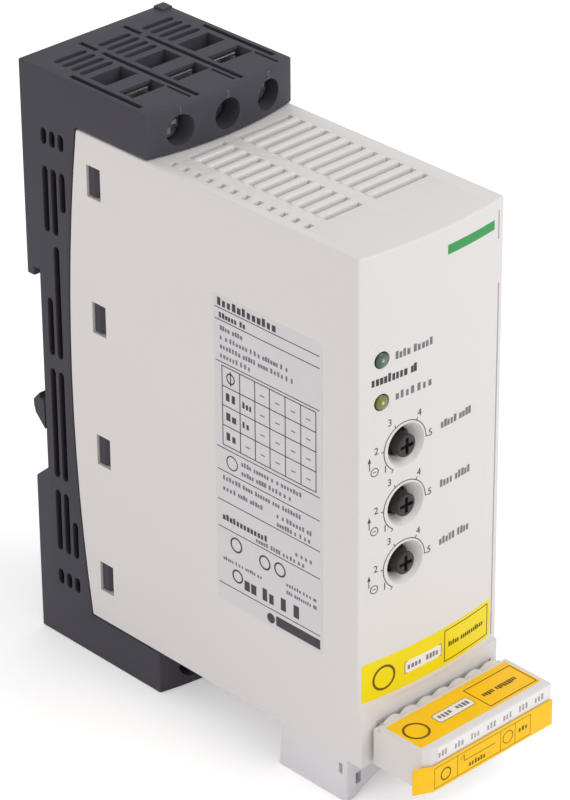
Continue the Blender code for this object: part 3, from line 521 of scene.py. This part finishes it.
dressed("base_housing", HOUSING_PLASTIC, 0.15)
dressed("front_cover", COVER_PLASTIC, 0.2, rims=((louvre_rim, 0.6), (outer_corner, 0.8)))
dressed("rail_latch", POLYAMIDE, 0.15)
dressed("control_plug", POLYCARBONATE, 0.12)
dressed("plug_front_label", FILM_ORANGE, 0.08)
for number in (1, 2, 3):
    dressed(f"trimmer_knob_{number}", KNOB_POLYAMIDE, 0.08)
    for end in ("line", "load"):
        dressed(f"{end}_screw_{number}", ZINC_PLATED_STEEL, 0.12)
        dressed(f"{end}_clamp_{number}", ZINC_PLATED_STEEL, 0.15)
        dressed(f"{end}_bar_{number}", TINNED_COPPER, 0.12)
dressed("power_lens", ACRYLIC_GREEN)
dressed("run_lens", ACRYLIC_YELLOW)

# %% [markdown]
# The latch's coil spring stands on a rib of the housing. When the latch is drawn down, its window presses the coil
# together by as much as the latch travels. Here the coil is dressed and gets a mesh of its own.

# %% Spring
spring = dressed("latch_spring", SPRING_WIRE, smooth=60)
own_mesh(spring)

# %% [markdown]
# What sits inside shows only through the vents. Those nodes keep their own shape and get a finish.

# %% Finishes for the inner pieces
INNER = {
    "heat_sink": EXTRUDED_ALUMINIUM,
    "control_header": POLYAMIDE_PALE,
    "control_board": SOLDER_MASK,
    "main_board": SOLDER_MASK,
    "power_module_1": POLYAMIDE,
    "power_module_2": POLYAMIDE,
    "bypass_relay_1": POLYESTER_BLUE,
    "bypass_relay_2": POLYESTER_BLUE,
}
for number in (1, 2, 3):
    INNER[f"trimmer_body_{number}"] = POLYESTER_BLACK
for number in range(1, 8):
    INNER[f"control_screw_{number}"] = ZINC_PLATED_STEEL
for node, look in INNER.items():
    for material_slot in frame["nodes"][node].material_slots:
        material_slot.material = look
print("inner pieces:", len(INNER))

# %% [markdown]
# ## Print
# The rating print on the left side, the scales round the knobs and the marks on the labels are thin layers of ink.
# They are drawn flat, in millimetres, as closed slabs, and then laid on the surface that carries them. A slab starts
# a little below the surface, so that no two faces lie in one plane. Words are greeked: rows of small plain blocks.

# %% Surfaces to print on
SINK = 0.05
INK = 0.03
FILM = 0.07


def on_left_side(u, v, w):
    return place(-HALF_WIDTH - w, u, v)


def on_front(u, v, w):
    return place(u, bowed(u, FACE_SIDE, FACE_MIDDLE) + w, v)


def on_plug_top(u, v, w):
    return place(u, v, PLUG_TOP + w)


def on_plug_front(u, v, w):
    return place(u, PLUG_FRONT + w, v)


def on_front_label(u, v, w):
    return place(u, LABEL_FRONT + w, v)


def lay(name, flat, surface, low, high, look, body, step=None):
    """Lays flat art, a bmesh with z from 0 to 1, on a surface as a closed slab from low to high above it.

    step cuts wide art into narrower faces first, so that it follows a bowed surface.
    """
    if step:
        across_range = [vertex.co.x for vertex in flat.verts]
        cuts = int((max(across_range) - min(across_range)) / step)
        for number in range(1, cuts + 1):
            bmesh.ops.bisect_plane(
                flat,
                geom=[*flat.verts, *flat.edges, *flat.faces],
                plane_co=(min(across_range) + number * step, 0, 0),
                plane_no=(1, 0, 0),
            )
    for vertex in flat.verts:
        u, v, w = vertex.co
        vertex.co = surface(u, v, low + (high - low) * w)
    bmesh.ops.recalc_face_normals(flat, faces=flat.faces)
    for face in flat.faces:
        face.material_index = 0
    mesh = bpy.data.meshes.new(name)
    flat.to_mesh(mesh)
    flat.free()
    mesh.materials.append(look)
    piece = in_scene(name, mesh)
    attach(piece, body)


print("ink:", INK, "mm, film:", FILM, "mm")

# %% [markdown]
# Flat art is a bmesh. These helpers add a closed slab for an outline, a frame, a ring or a figure.

# %% Shapes for flat art


def slab(art, outline):
    """A closed prism over an outline, one unit high."""
    lower = [art.verts.new((u, v, 0)) for u, v in outline]
    upper = [art.verts.new((u, v, 1)) for u, v in outline]
    art.faces.new(lower)
    art.faces.new(upper)
    for number in range(len(outline)):
        following = (number + 1) % len(outline)
        art.faces.new((lower[number], lower[following], upper[following], upper[number]))


def rectangle(u, v, inset=0.0):
    left, right, low, high = u[0] + inset, u[1] - inset, v[0] + inset, v[1] - inset
    return [(left, low), (right, low), (right, high), (left, high)]


def bar(art, u, v):
    slab(art, rectangle(u, v))


def box_frame(art, u, v, line):
    """Four bars round a rectangle, line wide, that meet at mitres."""
    loop(art, rectangle(u, v), rectangle(u, v, line))


def loop(art, outer, inner):
    """A closed slab between two outlines with the same number of corners."""
    rings = []
    for outline, height in ((outer, 0), (outer, 1), (inner, 1), (inner, 0)):
        rings.append([art.verts.new((u, v, height)) for u, v in outline])
    count = len(outer)
    for near, far in zip(rings, rings[1:] + rings[:1]):
        for number in range(count):
            following = (number + 1) % count
            art.faces.new((near[number], near[following], far[following], far[number]))


def circle(u, v, radius, steps=28):
    angles = [2 * math.pi * number / steps for number in range(steps)]
    return [(u + radius * math.cos(angle), v + radius * math.sin(angle)) for angle in angles]


def ring(art, u, v, radius, line):
    loop(art, circle(u, v, radius), circle(u, v, radius - line))


def rounded(u, v, radius, steps=4):
    """The outline of a rectangle with rounded corners."""
    points = []
    corners = ((u[1], v[1], 0), (u[0], v[1], 90), (u[0], v[0], 180), (u[1], v[0], 270))
    for corner_u, corner_v, start in corners:
        middle_u = corner_u - math.copysign(radius, corner_u - sum(u) / 2)
        middle_v = corner_v - math.copysign(radius, corner_v - sum(v) / 2)
        for step in range(steps + 1):
            angle = math.radians(start + 90 * step / steps)
            points.append((middle_u + radius * math.cos(angle), middle_v + radius * math.sin(angle)))
    return points


def stroke(art, points, width):
    """A line of constant width through points, as one slab for each straight piece."""
    for (u1, v1), (u2, v2) in zip(points, points[1:]):
        length = math.hypot(u2 - u1, v2 - v1)
        side_u, side_v = -(v2 - v1) / length * width / 2, (u2 - u1) / length * width / 2
        start = [(u1 + side_u, v1 + side_v), (u1 - side_u, v1 - side_v)]
        slab(art, start + [(u2 - side_u, v2 - side_v), (u2 + side_u, v2 + side_v)])


def as_mesh(thing):
    """The evaluated shape of an object as a plain mesh. The object itself is removed."""
    graph = bpy.context.evaluated_depsgraph_get()
    mesh = bpy.data.meshes.new_from_object(thing.evaluated_get(graph))
    bpy.data.objects.remove(thing)
    return mesh


def figure(art, number, u, v, size):
    """A plain number, centred on a place, as a closed slab."""
    curve = bpy.data.curves.new("figure", "FONT")
    curve.body = str(number)
    curve.size = size
    curve.align_x = "CENTER"
    curve.align_y = "CENTER"
    curve.extrude = 0.5
    curve.resolution_u = 3
    mesh = as_mesh(in_scene("figure", curve))
    mesh.transform(Matrix.Translation((u, v, 0.5)))
    mesh.materials.clear()
    before = len(art.verts)
    art.from_mesh(mesh)
    art.verts.ensure_lookup_table()
    bmesh.ops.remove_doubles(art, verts=art.verts[before:], dist=0.0005)


print("a rounded label outline has", len(rounded((0, 10), (0, 5), 1)), "points")

# %% [markdown]
# Words repeat along lines, so Geometry Nodes make them. The input is a mesh whose edges are the words. The tree puts
# points along each word at the width of a letter and sets a small block on each: most are low and some are high, and
# each fills a bit more or less of its place. It ends in plain geometry, so that it can be exported.

# %% Tree for greeked words
LOW_LETTERS = 0.62
LOW_HEIGHT = 0.78
NARROWEST, WIDEST = 0.62, 0.82


def start_tree(name, inputs):
    """A geometry tree with named inputs: the tree, its input node and its output node."""
    tree = bpy.data.node_groups.new(name, "GeometryNodeTree")
    tree.interface.new_socket("Geometry", in_out="INPUT", socket_type="NodeSocketGeometry")
    for label, kind, value in inputs:
        socket = tree.interface.new_socket(label, in_out="INPUT", socket_type="NodeSocket" + kind)
        if value is not None:
            socket.default_value = value
    tree.interface.new_socket("Geometry", in_out="OUTPUT", socket_type="NodeSocketGeometry")
    return tree, add(tree, "NodeGroupInput"), add(tree, "NodeGroupOutput")


def grow(tree, base, values):
    """Runs a tree on a mesh with the given inputs, and returns the result as a plain mesh."""
    thing = in_scene("growing", base)
    modifier = thing.modifiers.new("growing", "NODES")
    modifier.node_group = tree
    for socket in tree.interface.items_tree:
        if socket.in_out == "INPUT" and socket.name in values:
            modifier[socket.identifier] = values[socket.name]
    return as_mesh(thing)


tree, entry, leave = start_tree("greeked_words", [
    ("Letter width", "Float", 0.9), ("Letter height", "Float", 1.4), ("Seed", "Int", 1), ("Ink", "Material", None),
])
strokes = add(tree, "GeometryNodeMeshToCurve", {"Mesh": entry.outputs["Geometry"]})
letters = add(
    tree, "GeometryNodeResampleCurve", {"Curve": strokes, "Length": entry.outputs["Letter width"]},
    mode="LENGTH",
)
# Heights and widths are drawn at random from the same seed, moved by 17 and by 31 so that they don't go together.
height_seed = add(tree, "ShaderNodeMath", {0: entry.outputs["Seed"], 1: 17.0}, operation="ADD")
draw = {"Min": 0.0, "Max": 1.0, "Seed": height_seed}
tall = add(tree, "FunctionNodeRandomValue", draw, data_type="FLOAT")
is_tall = add(tree, "ShaderNodeMath", {0: tall.outputs["Value"], 1: LOW_LETTERS}, operation="GREATER_THAN")
rise = add(tree, "ShaderNodeMapRange", {"Value": is_tall, "To Min": LOW_HEIGHT, "To Max": 1.0})
high = add(tree, "ShaderNodeMath", {0: rise, 1: entry.outputs["Letter height"]}, operation="MULTIPLY")
width_seed = add(tree, "ShaderNodeMath", {0: entry.outputs["Seed"], 1: 31.0}, operation="ADD")
draw = {"Min": NARROWEST, "Max": WIDEST, "Seed": width_seed}
fill = add(tree, "FunctionNodeRandomValue", draw, data_type="FLOAT")
wide = add(tree, "ShaderNodeMath", {0: fill.outputs["Value"], 1: entry.outputs["Letter width"]}, operation="MULTIPLY")
scale = add(tree, "ShaderNodeCombineXYZ", {"X": wide, "Y": high, "Z": 1.0})
block = add(tree, "GeometryNodeMeshCube")
seated = add(tree, "GeometryNodeTransform", {"Geometry": block.outputs["Mesh"], "Translation": (0.5, 0.5, 0.5)})
placed = add(tree, "GeometryNodeInstanceOnPoints", {
    "Points": letters, "Instance": seated, "Scale": scale,
})
real = add(tree, "GeometryNodeRealizeInstances", {"Geometry": placed})
inked = add(tree, "GeometryNodeSetMaterial", {"Geometry": real, "Material": entry.outputs["Ink"]})
tree.links.new(inked.outputs[0], leave.inputs[0])
words_tree = tree
print("words tree:", len(words_tree.nodes), "nodes")

# %% Words in flat art
WORD_LENGTHS = (5, 3, 7, 4, 6, 3, 8, 5, 4)
SHORTEST = 1.6
WORD_GAP = 1.75


def words(art, lines, width, height, look, seed, lengths=WORD_LENGTHS):
    """Adds greeked words along lines, each given by its start, its end and its level, to flat art.

    width and height are a letter's. lengths are the letters of each word in turn, from a place that the seed gives.
    """
    base = bpy.data.meshes.new("lines")
    corners = []
    turn = seed
    for start, end, baseline in lines:
        while end - start > SHORTEST * width:
            stop = min(start + (lengths[turn % len(lengths)] - 1) * width, end - width)
            corners += [(start, baseline, 0), (stop, baseline, 0)]
            start = stop + WORD_GAP * width
            turn += 1
    base.from_pydata(corners, [(n, n + 1) for n in range(0, len(corners), 2)], [])
    grown = grow(words_tree, base, {"Letter width": width, "Letter height": height, "Seed": seed, "Ink": look})
    art.from_mesh(grown)
    return len(grown.polygons) // 6


trial = bmesh.new()
print("blocks on a 20 mm line:", words(trial, [(0, 20, 0)], 0.9, 1.4, INK_GREY, 1))
trial.free()

# %% [markdown]
# ## Ribs between the louvres
# The bars that stand between the air slots on top are crowned, so that dust and drops don't rest on them. A crowned
# bar is a stretched and flattened ball: the tree moves the two halves of a sphere apart, flattens it, and repeats it
# along a line. Its lower half is sunk in the cover.

# %% Tree for the ribs
tree, entry, leave = start_tree("crowned_ribs", [
    ("Length", "Float", 10.0), ("Width", "Float", 2.0), ("Height", "Float", 0.3), ("Pitch", "Float", 3.93),
    ("Count", "Int", 11), ("Plastic", "Material", None),
])
ball = add(tree, "GeometryNodeMeshUVSphere", {"Segments": 16, "Rings": 8, "Radius": 1.0})
where = add(tree, "GeometryNodeInputPosition")
split = add(tree, "ShaderNodeSeparateXYZ", {"Vector": where})
half = add(tree, "ShaderNodeMath", {0: entry.outputs["Width"], 1: 0.5}, operation="MULTIPLY")
straight = add(tree, "ShaderNodeMath", {0: entry.outputs["Length"], 1: entry.outputs["Width"]}, operation="SUBTRACT")
reach = add(tree, "ShaderNodeMath", {0: straight, 1: 0.5}, operation="MULTIPLY")
side = add(tree, "ShaderNodeMath", {0: split.outputs["X"]}, operation="SIGN")
shift = add(tree, "ShaderNodeMath", {0: side, 1: reach}, operation="MULTIPLY")
stretch = {0: split.outputs["X"], 1: half, 2: shift}
long_x = add(tree, "ShaderNodeMath", stretch, operation="MULTIPLY_ADD")
wide_y = add(tree, "ShaderNodeMath", {0: split.outputs["Y"], 1: half}, operation="MULTIPLY")
flat_z = add(tree, "ShaderNodeMath", {0: split.outputs["Z"], 1: entry.outputs["Height"]}, operation="MULTIPLY")
crown = add(tree, "ShaderNodeCombineXYZ", {"X": long_x, "Y": wide_y, "Z": flat_z})
rib = add(tree, "GeometryNodeSetPosition", {"Geometry": ball.outputs["Mesh"], "Position": crown})
soft = add(tree, "GeometryNodeSetShadeSmooth", {"Geometry": rib})
spacing = add(tree, "ShaderNodeCombineXYZ", {"Y": entry.outputs["Pitch"]})
row = add(tree, "GeometryNodeMeshLine", {"Count": entry.outputs["Count"], "Offset": spacing})
placed = add(tree, "GeometryNodeInstanceOnPoints", {"Points": row, "Instance": soft})
real = add(tree, "GeometryNodeRealizeInstances", {"Geometry": placed})
plastic = add(tree, "GeometryNodeSetMaterial", {"Geometry": real, "Material": entry.outputs["Plastic"]})
tree.links.new(plastic.outputs[0], leave.inputs[0])
rib_tree = tree

# %% Ribs on the top
RIB_FIRST = 50.465
RIB_SIZES = {"Width": 2.15, "Height": 0.38, "Pitch": 3.93, "Count": 11}
RIB_ENDS = {"left": (-14.2, -2.5), "right": (0.8, 18.0)}
for name, ends in RIB_ENDS.items():
    sizes = {**RIB_SIZES, "Length": ends[1] - ends[0], "Plastic": COVER_PLASTIC}
    grown = grow(rib_tree, bpy.data.meshes.new("rib"), sizes)
    for vertex in grown.vertices:
        vertex.co = place(vertex.co.x + sum(ends) / 2, RIB_FIRST + vertex.co.y, COVER_TOP + vertex.co.z)
    grown.flip_normals()
    ribs = in_scene(f"louvre_ribs_{name}", grown)
    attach(ribs, "unit")
    print(ribs.name, len(grown.polygons), "faces")

# %% [markdown]
# ## Rating print on the left side
# On the real unit the ratings stand on a thin silver film on the cover's left side: a heading between rules, a small
# table, and notes in smaller type. Here the rules and the table are real, every word is greeked, and plain rings
# stand for signs.

# %% Film and rules of the rating print
RULE_ENDS = (65.5, 99.0)
RULES = (114.0, 111.0, 100.4, 78.2, 72.2, 64.2, 57.0, 41.8)
RINGS = ((71.4, 54.0, 2.0), (80.9, 53.5, 1.9), (85.9, 53.8, 1.9), (71.7, 45.7, 1.8))
field = bmesh.new()
slab(field, rounded((64.9, 99.9), (37.2, 117.4), 0.8))
lay("rating_film", field, on_left_side, -SINK, INK, FILM_SILVER, "unit")
heading = bmesh.new()
small = bmesh.new()
for height in RULES:
    bar(heading, RULE_ENDS, (height, height + 0.22))
ring(heading, 70.4, 75.3, 1.9, 0.3)
for ring_u, ring_v, ring_radius in RINGS:
    ring(heading, ring_u, ring_v, ring_radius, 0.45)
slab(heading, circle(82.8, 39.4, 1.3))
bar(heading, (84.5, 99.0), (38.2, 40.8))
print("rules:", len(RULES), "rings:", len(RINGS) + 1)

# %% Words of the rating print
# Bold rows: a line, the width and height of a letter, the seed and the letters of each word.
BOLD_ROWS = (
    ((66.3, 85.5, 114.7), 1.5, 2.0, 3, (20,)),
    ((66.8, 76.0, 111.7), 1.0, 1.4, 4, (6, 2)),
    ((67.0, 82.0, 59.3), 1.1, 1.6, 6, (20,)),
    ((74.0, 92.5, 43.2), 2.2, 3.3, 7, (4, 2, 2)),
)
# Notes: lines, the width and height of a letter and the seed.
NOTES = (
    (((67.0, 74.5, 108.6), (67.0, 90.0, 106.2), (67.0, 91.0, 103.9), (67.0, 78.0, 101.6)), 0.85, 1.2, 8),
    ((
        (73.5, 95.0, 75.9), (73.5, 90.0, 73.5), (67.3, 93.0, 70.0),
        (67.3, 81.0, 67.2), (85.0, 96.5, 67.2), (85.0, 96.0, 65.0),
    ), 0.85, 1.2, 12),
    (((91.0, 96.5, 59.8), (78.0, 94.0, 57.8)), 0.85, 1.1, 14),
    (((67.0, 80.0, 48.5), (88.0, 98.0, 50.4), (88.0, 98.0, 48.4)), 0.7, 0.9, 16),
)
for line, width, height, seed, lengths in BOLD_ROWS:
    words(heading, [line], width, height, INK_DARK, seed, lengths)
for lines, width, height, seed in NOTES:
    words(small, lines, width, height, INK_GREY, seed)
print("bold rows:", len(BOLD_ROWS), "groups of notes:", len(NOTES))

# %% Table of the rating print
COLUMNS = (67.5, 73.3, 78.2, 83.0, 88.0, 93.0, 97.8)
ROWS = (99.7, 94.6, 89.6, 84.5, 79.3)
HALF_LINE = 0.13
ENTRY_START = 74.1
ENTRY_LENGTHS = (1.3, 3.2, 2.2)
for column in COLUMNS:
    bar(heading, (column - HALF_LINE, column + HALF_LINE), (ROWS[-1], ROWS[0]))
for row in ROWS:
    bar(heading, (COLUMNS[0] - HALF_LINE, COLUMNS[-1] + HALF_LINE), (row - 0.12, row + 0.12))
sign = COLUMNS[0] + 2.8
for row_number, (above, below) in enumerate(zip(ROWS, ROWS[1:])):
    middle = (above + below) / 2
    if row_number == 0:
        ring(heading, sign, middle, 1.4, 0.35)
        bar(heading, (sign - 0.18, sign + 0.18), (middle - 1.8, middle + 1.8))
    else:
        unit_line = (COLUMNS[0] + 1.2, COLUMNS[1] - 1.0, middle - 1.0)
        words(heading, [unit_line], 1.7, 2.0, INK_DARK, 20 + row_number)
    filled = row_number < len(ENTRY_LENGTHS)
    if filled:
        entry_line = (ENTRY_START, ENTRY_START + ENTRY_LENGTHS[row_number], middle - 0.8)
        words(heading, [entry_line], 0.95, 1.6, INK_DARK, 30 + row_number)
    for left, right in list(zip(COLUMNS, COLUMNS[1:]))[2 if filled else 1:]:
        centre = (left + right) / 2
        bar(small, (centre - 0.7, centre + 0.7), (middle - 0.4, middle - 0.1))
lay("rating_rules", heading, on_left_side, -SINK, 2 * INK, INK_DARK, "unit")
lay("rating_notes", small, on_left_side, -SINK, 2 * INK, INK_GREY, "unit")
print("table:", len(COLUMNS) - 1, "by", len(ROWS) - 1, "cells")

# %% [markdown]
# ## Scales of the setting knobs
# Each knob has an arc round it with five ticks. That is a shape that follows a rule, so a tree makes it: a long thin
# block is bent round the knob, and a tick is set on it at equal angles. The numbers beside the ticks are text made
# into meshes. Angles run from the right, against the clock.

# %% Tree for a dial
SWEEP = math.radians(235)
tree, entry, leave = start_tree("dial_scale", [
    ("Radius", "Float", 6.1), ("Line", "Float", 0.2), ("Tick", "Float", 0.75), ("Ticks", "Int", 5),
    ("Sweep", "Float", SWEEP), ("Ink", "Material", None),
])
strip = add(tree, "GeometryNodeMeshCube", {"Size": (1, 1, 1), "Vertices X": 48, "Vertices Y": 2, "Vertices Z": 2})
where = add(tree, "GeometryNodeInputPosition")
split = add(tree, "ShaderNodeSeparateXYZ", {"Vector": where})
along = add(tree, "ShaderNodeMath", {0: split.outputs["X"], 1: 0.5}, operation="ADD")
angle = add(tree, "ShaderNodeMath", {0: along, 1: entry.outputs["Sweep"]}, operation="MULTIPLY")
offset = {0: split.outputs["Y"], 1: entry.outputs["Line"], 2: entry.outputs["Radius"]}
outward = add(tree, "ShaderNodeMath", offset, operation="MULTIPLY_ADD")
cosine = add(tree, "ShaderNodeMath", {0: angle}, operation="COSINE")
sine = add(tree, "ShaderNodeMath", {0: angle}, operation="SINE")
bent_x = add(tree, "ShaderNodeMath", {0: cosine, 1: outward}, operation="MULTIPLY")
bent_y = add(tree, "ShaderNodeMath", {0: sine, 1: outward}, operation="MULTIPLY")
raised = add(tree, "ShaderNodeMath", {0: split.outputs["Z"], 1: 0.5}, operation="ADD")
bent = add(tree, "ShaderNodeCombineXYZ", {"X": bent_x, "Y": bent_y, "Z": raised})
arc = add(tree, "GeometryNodeSetPosition", {"Geometry": strip.outputs["Mesh"], "Position": bent})

number = add(tree, "GeometryNodeInputIndex")
gaps = add(tree, "ShaderNodeMath", {0: entry.outputs["Ticks"], 1: 1.0}, operation="SUBTRACT")
share = add(tree, "ShaderNodeMath", {0: number, 1: gaps}, operation="DIVIDE")
turn = add(tree, "ShaderNodeMath", {0: share, 1: entry.outputs["Sweep"]}, operation="MULTIPLY")
tick_cosine = add(tree, "ShaderNodeMath", {0: turn}, operation="COSINE")
tick_sine = add(tree, "ShaderNodeMath", {0: turn}, operation="SINE")
tick_x = add(tree, "ShaderNodeMath", {0: tick_cosine, 1: entry.outputs["Radius"]}, operation="MULTIPLY")
tick_y = add(tree, "ShaderNodeMath", {0: tick_sine, 1: entry.outputs["Radius"]}, operation="MULTIPLY")
tick_place = add(tree, "ShaderNodeCombineXYZ", {"X": tick_x, "Y": tick_y, "Z": 0.0})
points = add(tree, "GeometryNodePoints", {"Count": entry.outputs["Ticks"], "Position": tick_place})
euler = add(tree, "ShaderNodeCombineXYZ", {"X": 0.0, "Y": 0.0, "Z": turn})
facing = add(tree, "FunctionNodeEulerToRotation", {"Euler": euler})
stub = add(tree, "GeometryNodeMeshCube")
footed = add(tree, "GeometryNodeTransform", {"Geometry": stub.outputs["Mesh"], "Translation": (0.5, 0.0, 0.5)})
stub_size = add(tree, "ShaderNodeCombineXYZ", {"X": entry.outputs["Tick"], "Y": entry.outputs["Line"], "Z": 1.0})
ticks = add(tree, "GeometryNodeInstanceOnPoints", {
    "Points": points, "Instance": footed,
    "Rotation": facing, "Scale": stub_size,
})
both = add(tree, "GeometryNodeJoinGeometry")
tree.links.new(arc.outputs[0], both.inputs[0])
tree.links.new(ticks.outputs[0], both.inputs[0])
real = add(tree, "GeometryNodeRealizeInstances", {"Geometry": both})
inked = add(tree, "GeometryNodeSetMaterial", {"Geometry": real, "Material": entry.outputs["Ink"]})
tree.links.new(inked.outputs[0], leave.inputs[0])
dial_tree = tree
print("dial tree:", len(dial_tree.nodes), "nodes")

# %% [markdown]
# The dials stand round the knobs of the model. Beside each dial is its name, and at its lower left a small arrow over
# a ring. All names are greeked.

# %% Print on the front
KNOB_X = -9.45
KNOB_HEIGHTS = (92.2, 77.05, 61.9)
ARROW_X = -19.5
RING_X = -18.1
DIAL_SIZES = {"Radius": 6.1, "Line": 0.2, "Tick": 0.75, "Ticks": 5, "Sweep": SWEEP, "Ink": INK_DARK}
# The angle in degrees and the distance from the knob's middle of each number.
FIGURES = ((216, 7.0), (171, 8.3), (122, 8.5), (59, 7.9), (3.5, 7.5))
fine = bmesh.new()
bold = bmesh.new()
names = bmesh.new()
for knob_number, height in enumerate(KNOB_HEIGHTS):
    grown = grow(dial_tree, bpy.data.meshes.new("dial"), DIAL_SIZES)
    grown.transform(Matrix.Translation((KNOB_X, height, 0)))
    fine.from_mesh(grown)
    for label, (degrees, radius) in enumerate(FIGURES, 1):
        spot_x = KNOB_X + radius * math.cos(math.radians(degrees))
        spot_z = height + radius * math.sin(math.radians(degrees))
        figure(fine, label, spot_x, spot_z, 2.5)
    stroke(fine, [(ARROW_X, height - 3.0), (ARROW_X, height - 1.1)], 0.2)
    slab(fine, [(ARROW_X - 0.45, height - 1.15), (ARROW_X + 0.45, height - 1.15), (ARROW_X, height + 0.15)])
    ring(fine, RING_X, height - 3.8, 1.1, 0.2)
    stroke(fine, [(RING_X - 0.5, height - 3.8), (RING_X + 0.5, height - 3.8)], 0.18)
    words(names, [(1.35, 12.6, height + 0.1)], 1.05, 1.9, INK_GREY, 40 + knob_number, (5, 4))
words(names, [(-12.5, -1.4, 114.8), (-12.4, 0.3, 104.7)], 1.1, 1.9, INK_GREY, 52, (5, 4, 6))
words(bold, [(-19.0, -6.1, 109.9)], 1.12, 2.1, INK_DARK, 58, (9, 2))
lay("dial_print", fine, on_front, -SINK, INK, INK_DARK, "unit")
lay("front_names", names, on_front, -SINK, INK, INK_GREY, "unit")
lay("type_row", bold, on_front, -SINK, INK, INK_DARK, "unit")
marks = bmesh.new()
bar(marks, (2.8, 18.8), (135.0, 137.3))
lay("green_bar", marks, on_front, -SINK, INK, INK_GREEN, "unit", step=1.5)
print("dials:", len(KNOB_HEIGHTS), "with numbers 1 to", len(FIGURES))

# %% [markdown]
# ## Numbers on the terminal blocks
# Each terminal has its number above its screw hole: odd ones where the supply comes in, even ones where the motor
# goes out. They are marked on the bowed front of each block, in a slightly paler grey.

# %% Terminal numbers
BLOCK_SIDE = 43.5
BLOCK_MIDDLE = 46.4
TERMINAL_PITCH = 13.5


def on_block(u, v, w):
    return place(u, bowed(u, BLOCK_SIDE, BLOCK_MIDDLE) + w, v)


marks = bmesh.new()
POLES = (-1, 0, 1)
for pole in POLES:
    figure(marks, 3 + 2 * pole, TERMINAL_PITCH * pole, HEIGHT - 1.25, 2.7)
    figure(marks, 4 + 2 * pole, TERMINAL_PITCH * pole, 1.2, 2.4)
lay("terminal_numbers", marks, on_block, -0.1, 0.05, MOULD_MARK, "unit")
print("terminal numbers:", 2 * len(POLES))

# %% [markdown]
# ## Labels
# Two yellow films carry the notes for whoever wires the plug: one low on the front, one on the plug. A third, stiffer
# one is the printed front of the plug. Here they keep their fields of colour, frames and a plain ring.

# %% Yellow label on the front
field = bmesh.new()
slab(field, rounded((-21.4, 20.1), (28.7, 38.9), 0.5))
lay("front_film", field, on_front, -SINK, FILM, FILM_YELLOW, "unit", step=1.5)
lines = bmesh.new()
box_frame(lines, (3.5, 19.2), (29.6, 38.1), 0.25)
ring(lines, -15.2, 33.6, 3.3, 0.6)
words(lines, [(4.9, 17.8, 33.2)], 0.75, 1.3, INK_BROWN, 61, (11, 5))
lay("front_film_lines", lines, on_front, FILM - SINK, FILM + INK, INK_BROWN, "unit", step=1.5)
white = bmesh.new()
front_field = ((-9.1, 2.5), (32.0, 35.2))
bar(white, *front_field)
lay("front_film_field", white, on_front, FILM - SINK, FILM + INK, FILM_WHITE, "unit", step=1.5)
marks = bmesh.new()
box_frame(marks, *front_field, 0.15)
words(marks, [(-8.2, -3.9, 32.9), (-2.4, 1.6, 32.9)], 0.95, 1.4, INK_GREY, 63, (9,))
lay("front_film_marks", marks, on_front, FILM, FILM + 2 * INK, INK_GREY, "unit")
print("film:", FILM, "mm thick")

# %% Films on the plug
field = bmesh.new()
slab(field, rounded((-18.6, 20.7), (116.2, 127.6), 0.4))
lay("plug_film", field, on_plug_top, -SINK, FILM, FILM_ORANGE, "plug")
lines = bmesh.new()
plug_frame = ((4.7, 20.2), (118.0, 126.9))
box_frame(lines, *plug_frame, 0.25)
ring(lines, -14.6, 122.0, 3.3, 0.6)
words(lines, [(6.6, 18.4, 122.0)], 0.75, 1.4, INK_BROWN, 71, (9, 5))
lay("plug_film_lines", lines, on_plug_top, FILM - SINK, FILM + INK, INK_BROWN, "plug")
white = bmesh.new()
plug_field = rounded((-8.3, 3.4), (120.2, 123.7), 0.8)
slab(white, plug_field)
lay("plug_film_field", white, on_plug_top, FILM - SINK, FILM + INK, FILM_WHITE, "plug")
marks = bmesh.new()
loop(marks, plug_field, rounded((-8.15, 3.25), (120.35, 123.55), 0.7))
words(marks, [(-7.2, -3.0, 121.2), (-1.4, 2.6, 121.2)], 0.95, 1.4, INK_GREY, 73, (9,))
lay("plug_film_marks", marks, on_plug_top, FILM, FILM + 2 * INK, INK_GREY, "plug")
print("frame on the plug:", [round(high - low, 2) for low, high in plug_frame], "mm")

# %% Marker strip of the plug
PLUG_POLES = 7
MARKER_FIRST = -13.9
MARKER_PITCH = 5.3
white = bmesh.new()
bar(white, (-15.6, 21.4), (19.35, 23.0))
lay("marker_strip", white, on_plug_front, -SINK, FILM, FILM_WHITE, "plug")
marks = bmesh.new()
for terminal in range(PLUG_POLES):
    middle = MARKER_FIRST + MARKER_PITCH * terminal
    words(marks, [(middle - 1.5, middle + 1.4, 20.3)], 0.8, 1.6, INK_PALE, 80 + terminal, (9,))
lay("marker_marks", marks, on_plug_front, FILM - SINK, FILM + INK, INK_PALE, "plug")
print("marker groups:", PLUG_POLES)

# %% Lines of the plug's front label
LABEL_FRAME = ((-17.3, 14.4), (13.0, 18.6))
DIVIDERS = (-9.8, 4.4, 9.2)
lines = bmesh.new()
box_frame(lines, *LABEL_FRAME, 0.12)
for divider in DIVIDERS:
    bar(lines, (divider - 0.06, divider + 0.06), LABEL_FRAME[1])
ring(lines, -13.6, 15.6, 1.7, 0.35)
ring(lines, 6.8, 15.9, 1.7, 0.18)
stroke(lines, [(-8.8, 17.0), (-7.6, 17.8), (-7.6, 16.2), (2.6, 16.2)], 0.16)
words(lines, [(-6.0, -0.5, 13.9), (10.4, 13.4, 15.4)], 0.8, 1.2, INK_BROWN, 91, (9,))
lay("plug_label_lines", lines, on_front_label, -SINK, INK, INK_BROWN, "plug")
print("fields on the plug's label:", len(DIVIDERS) + 1)
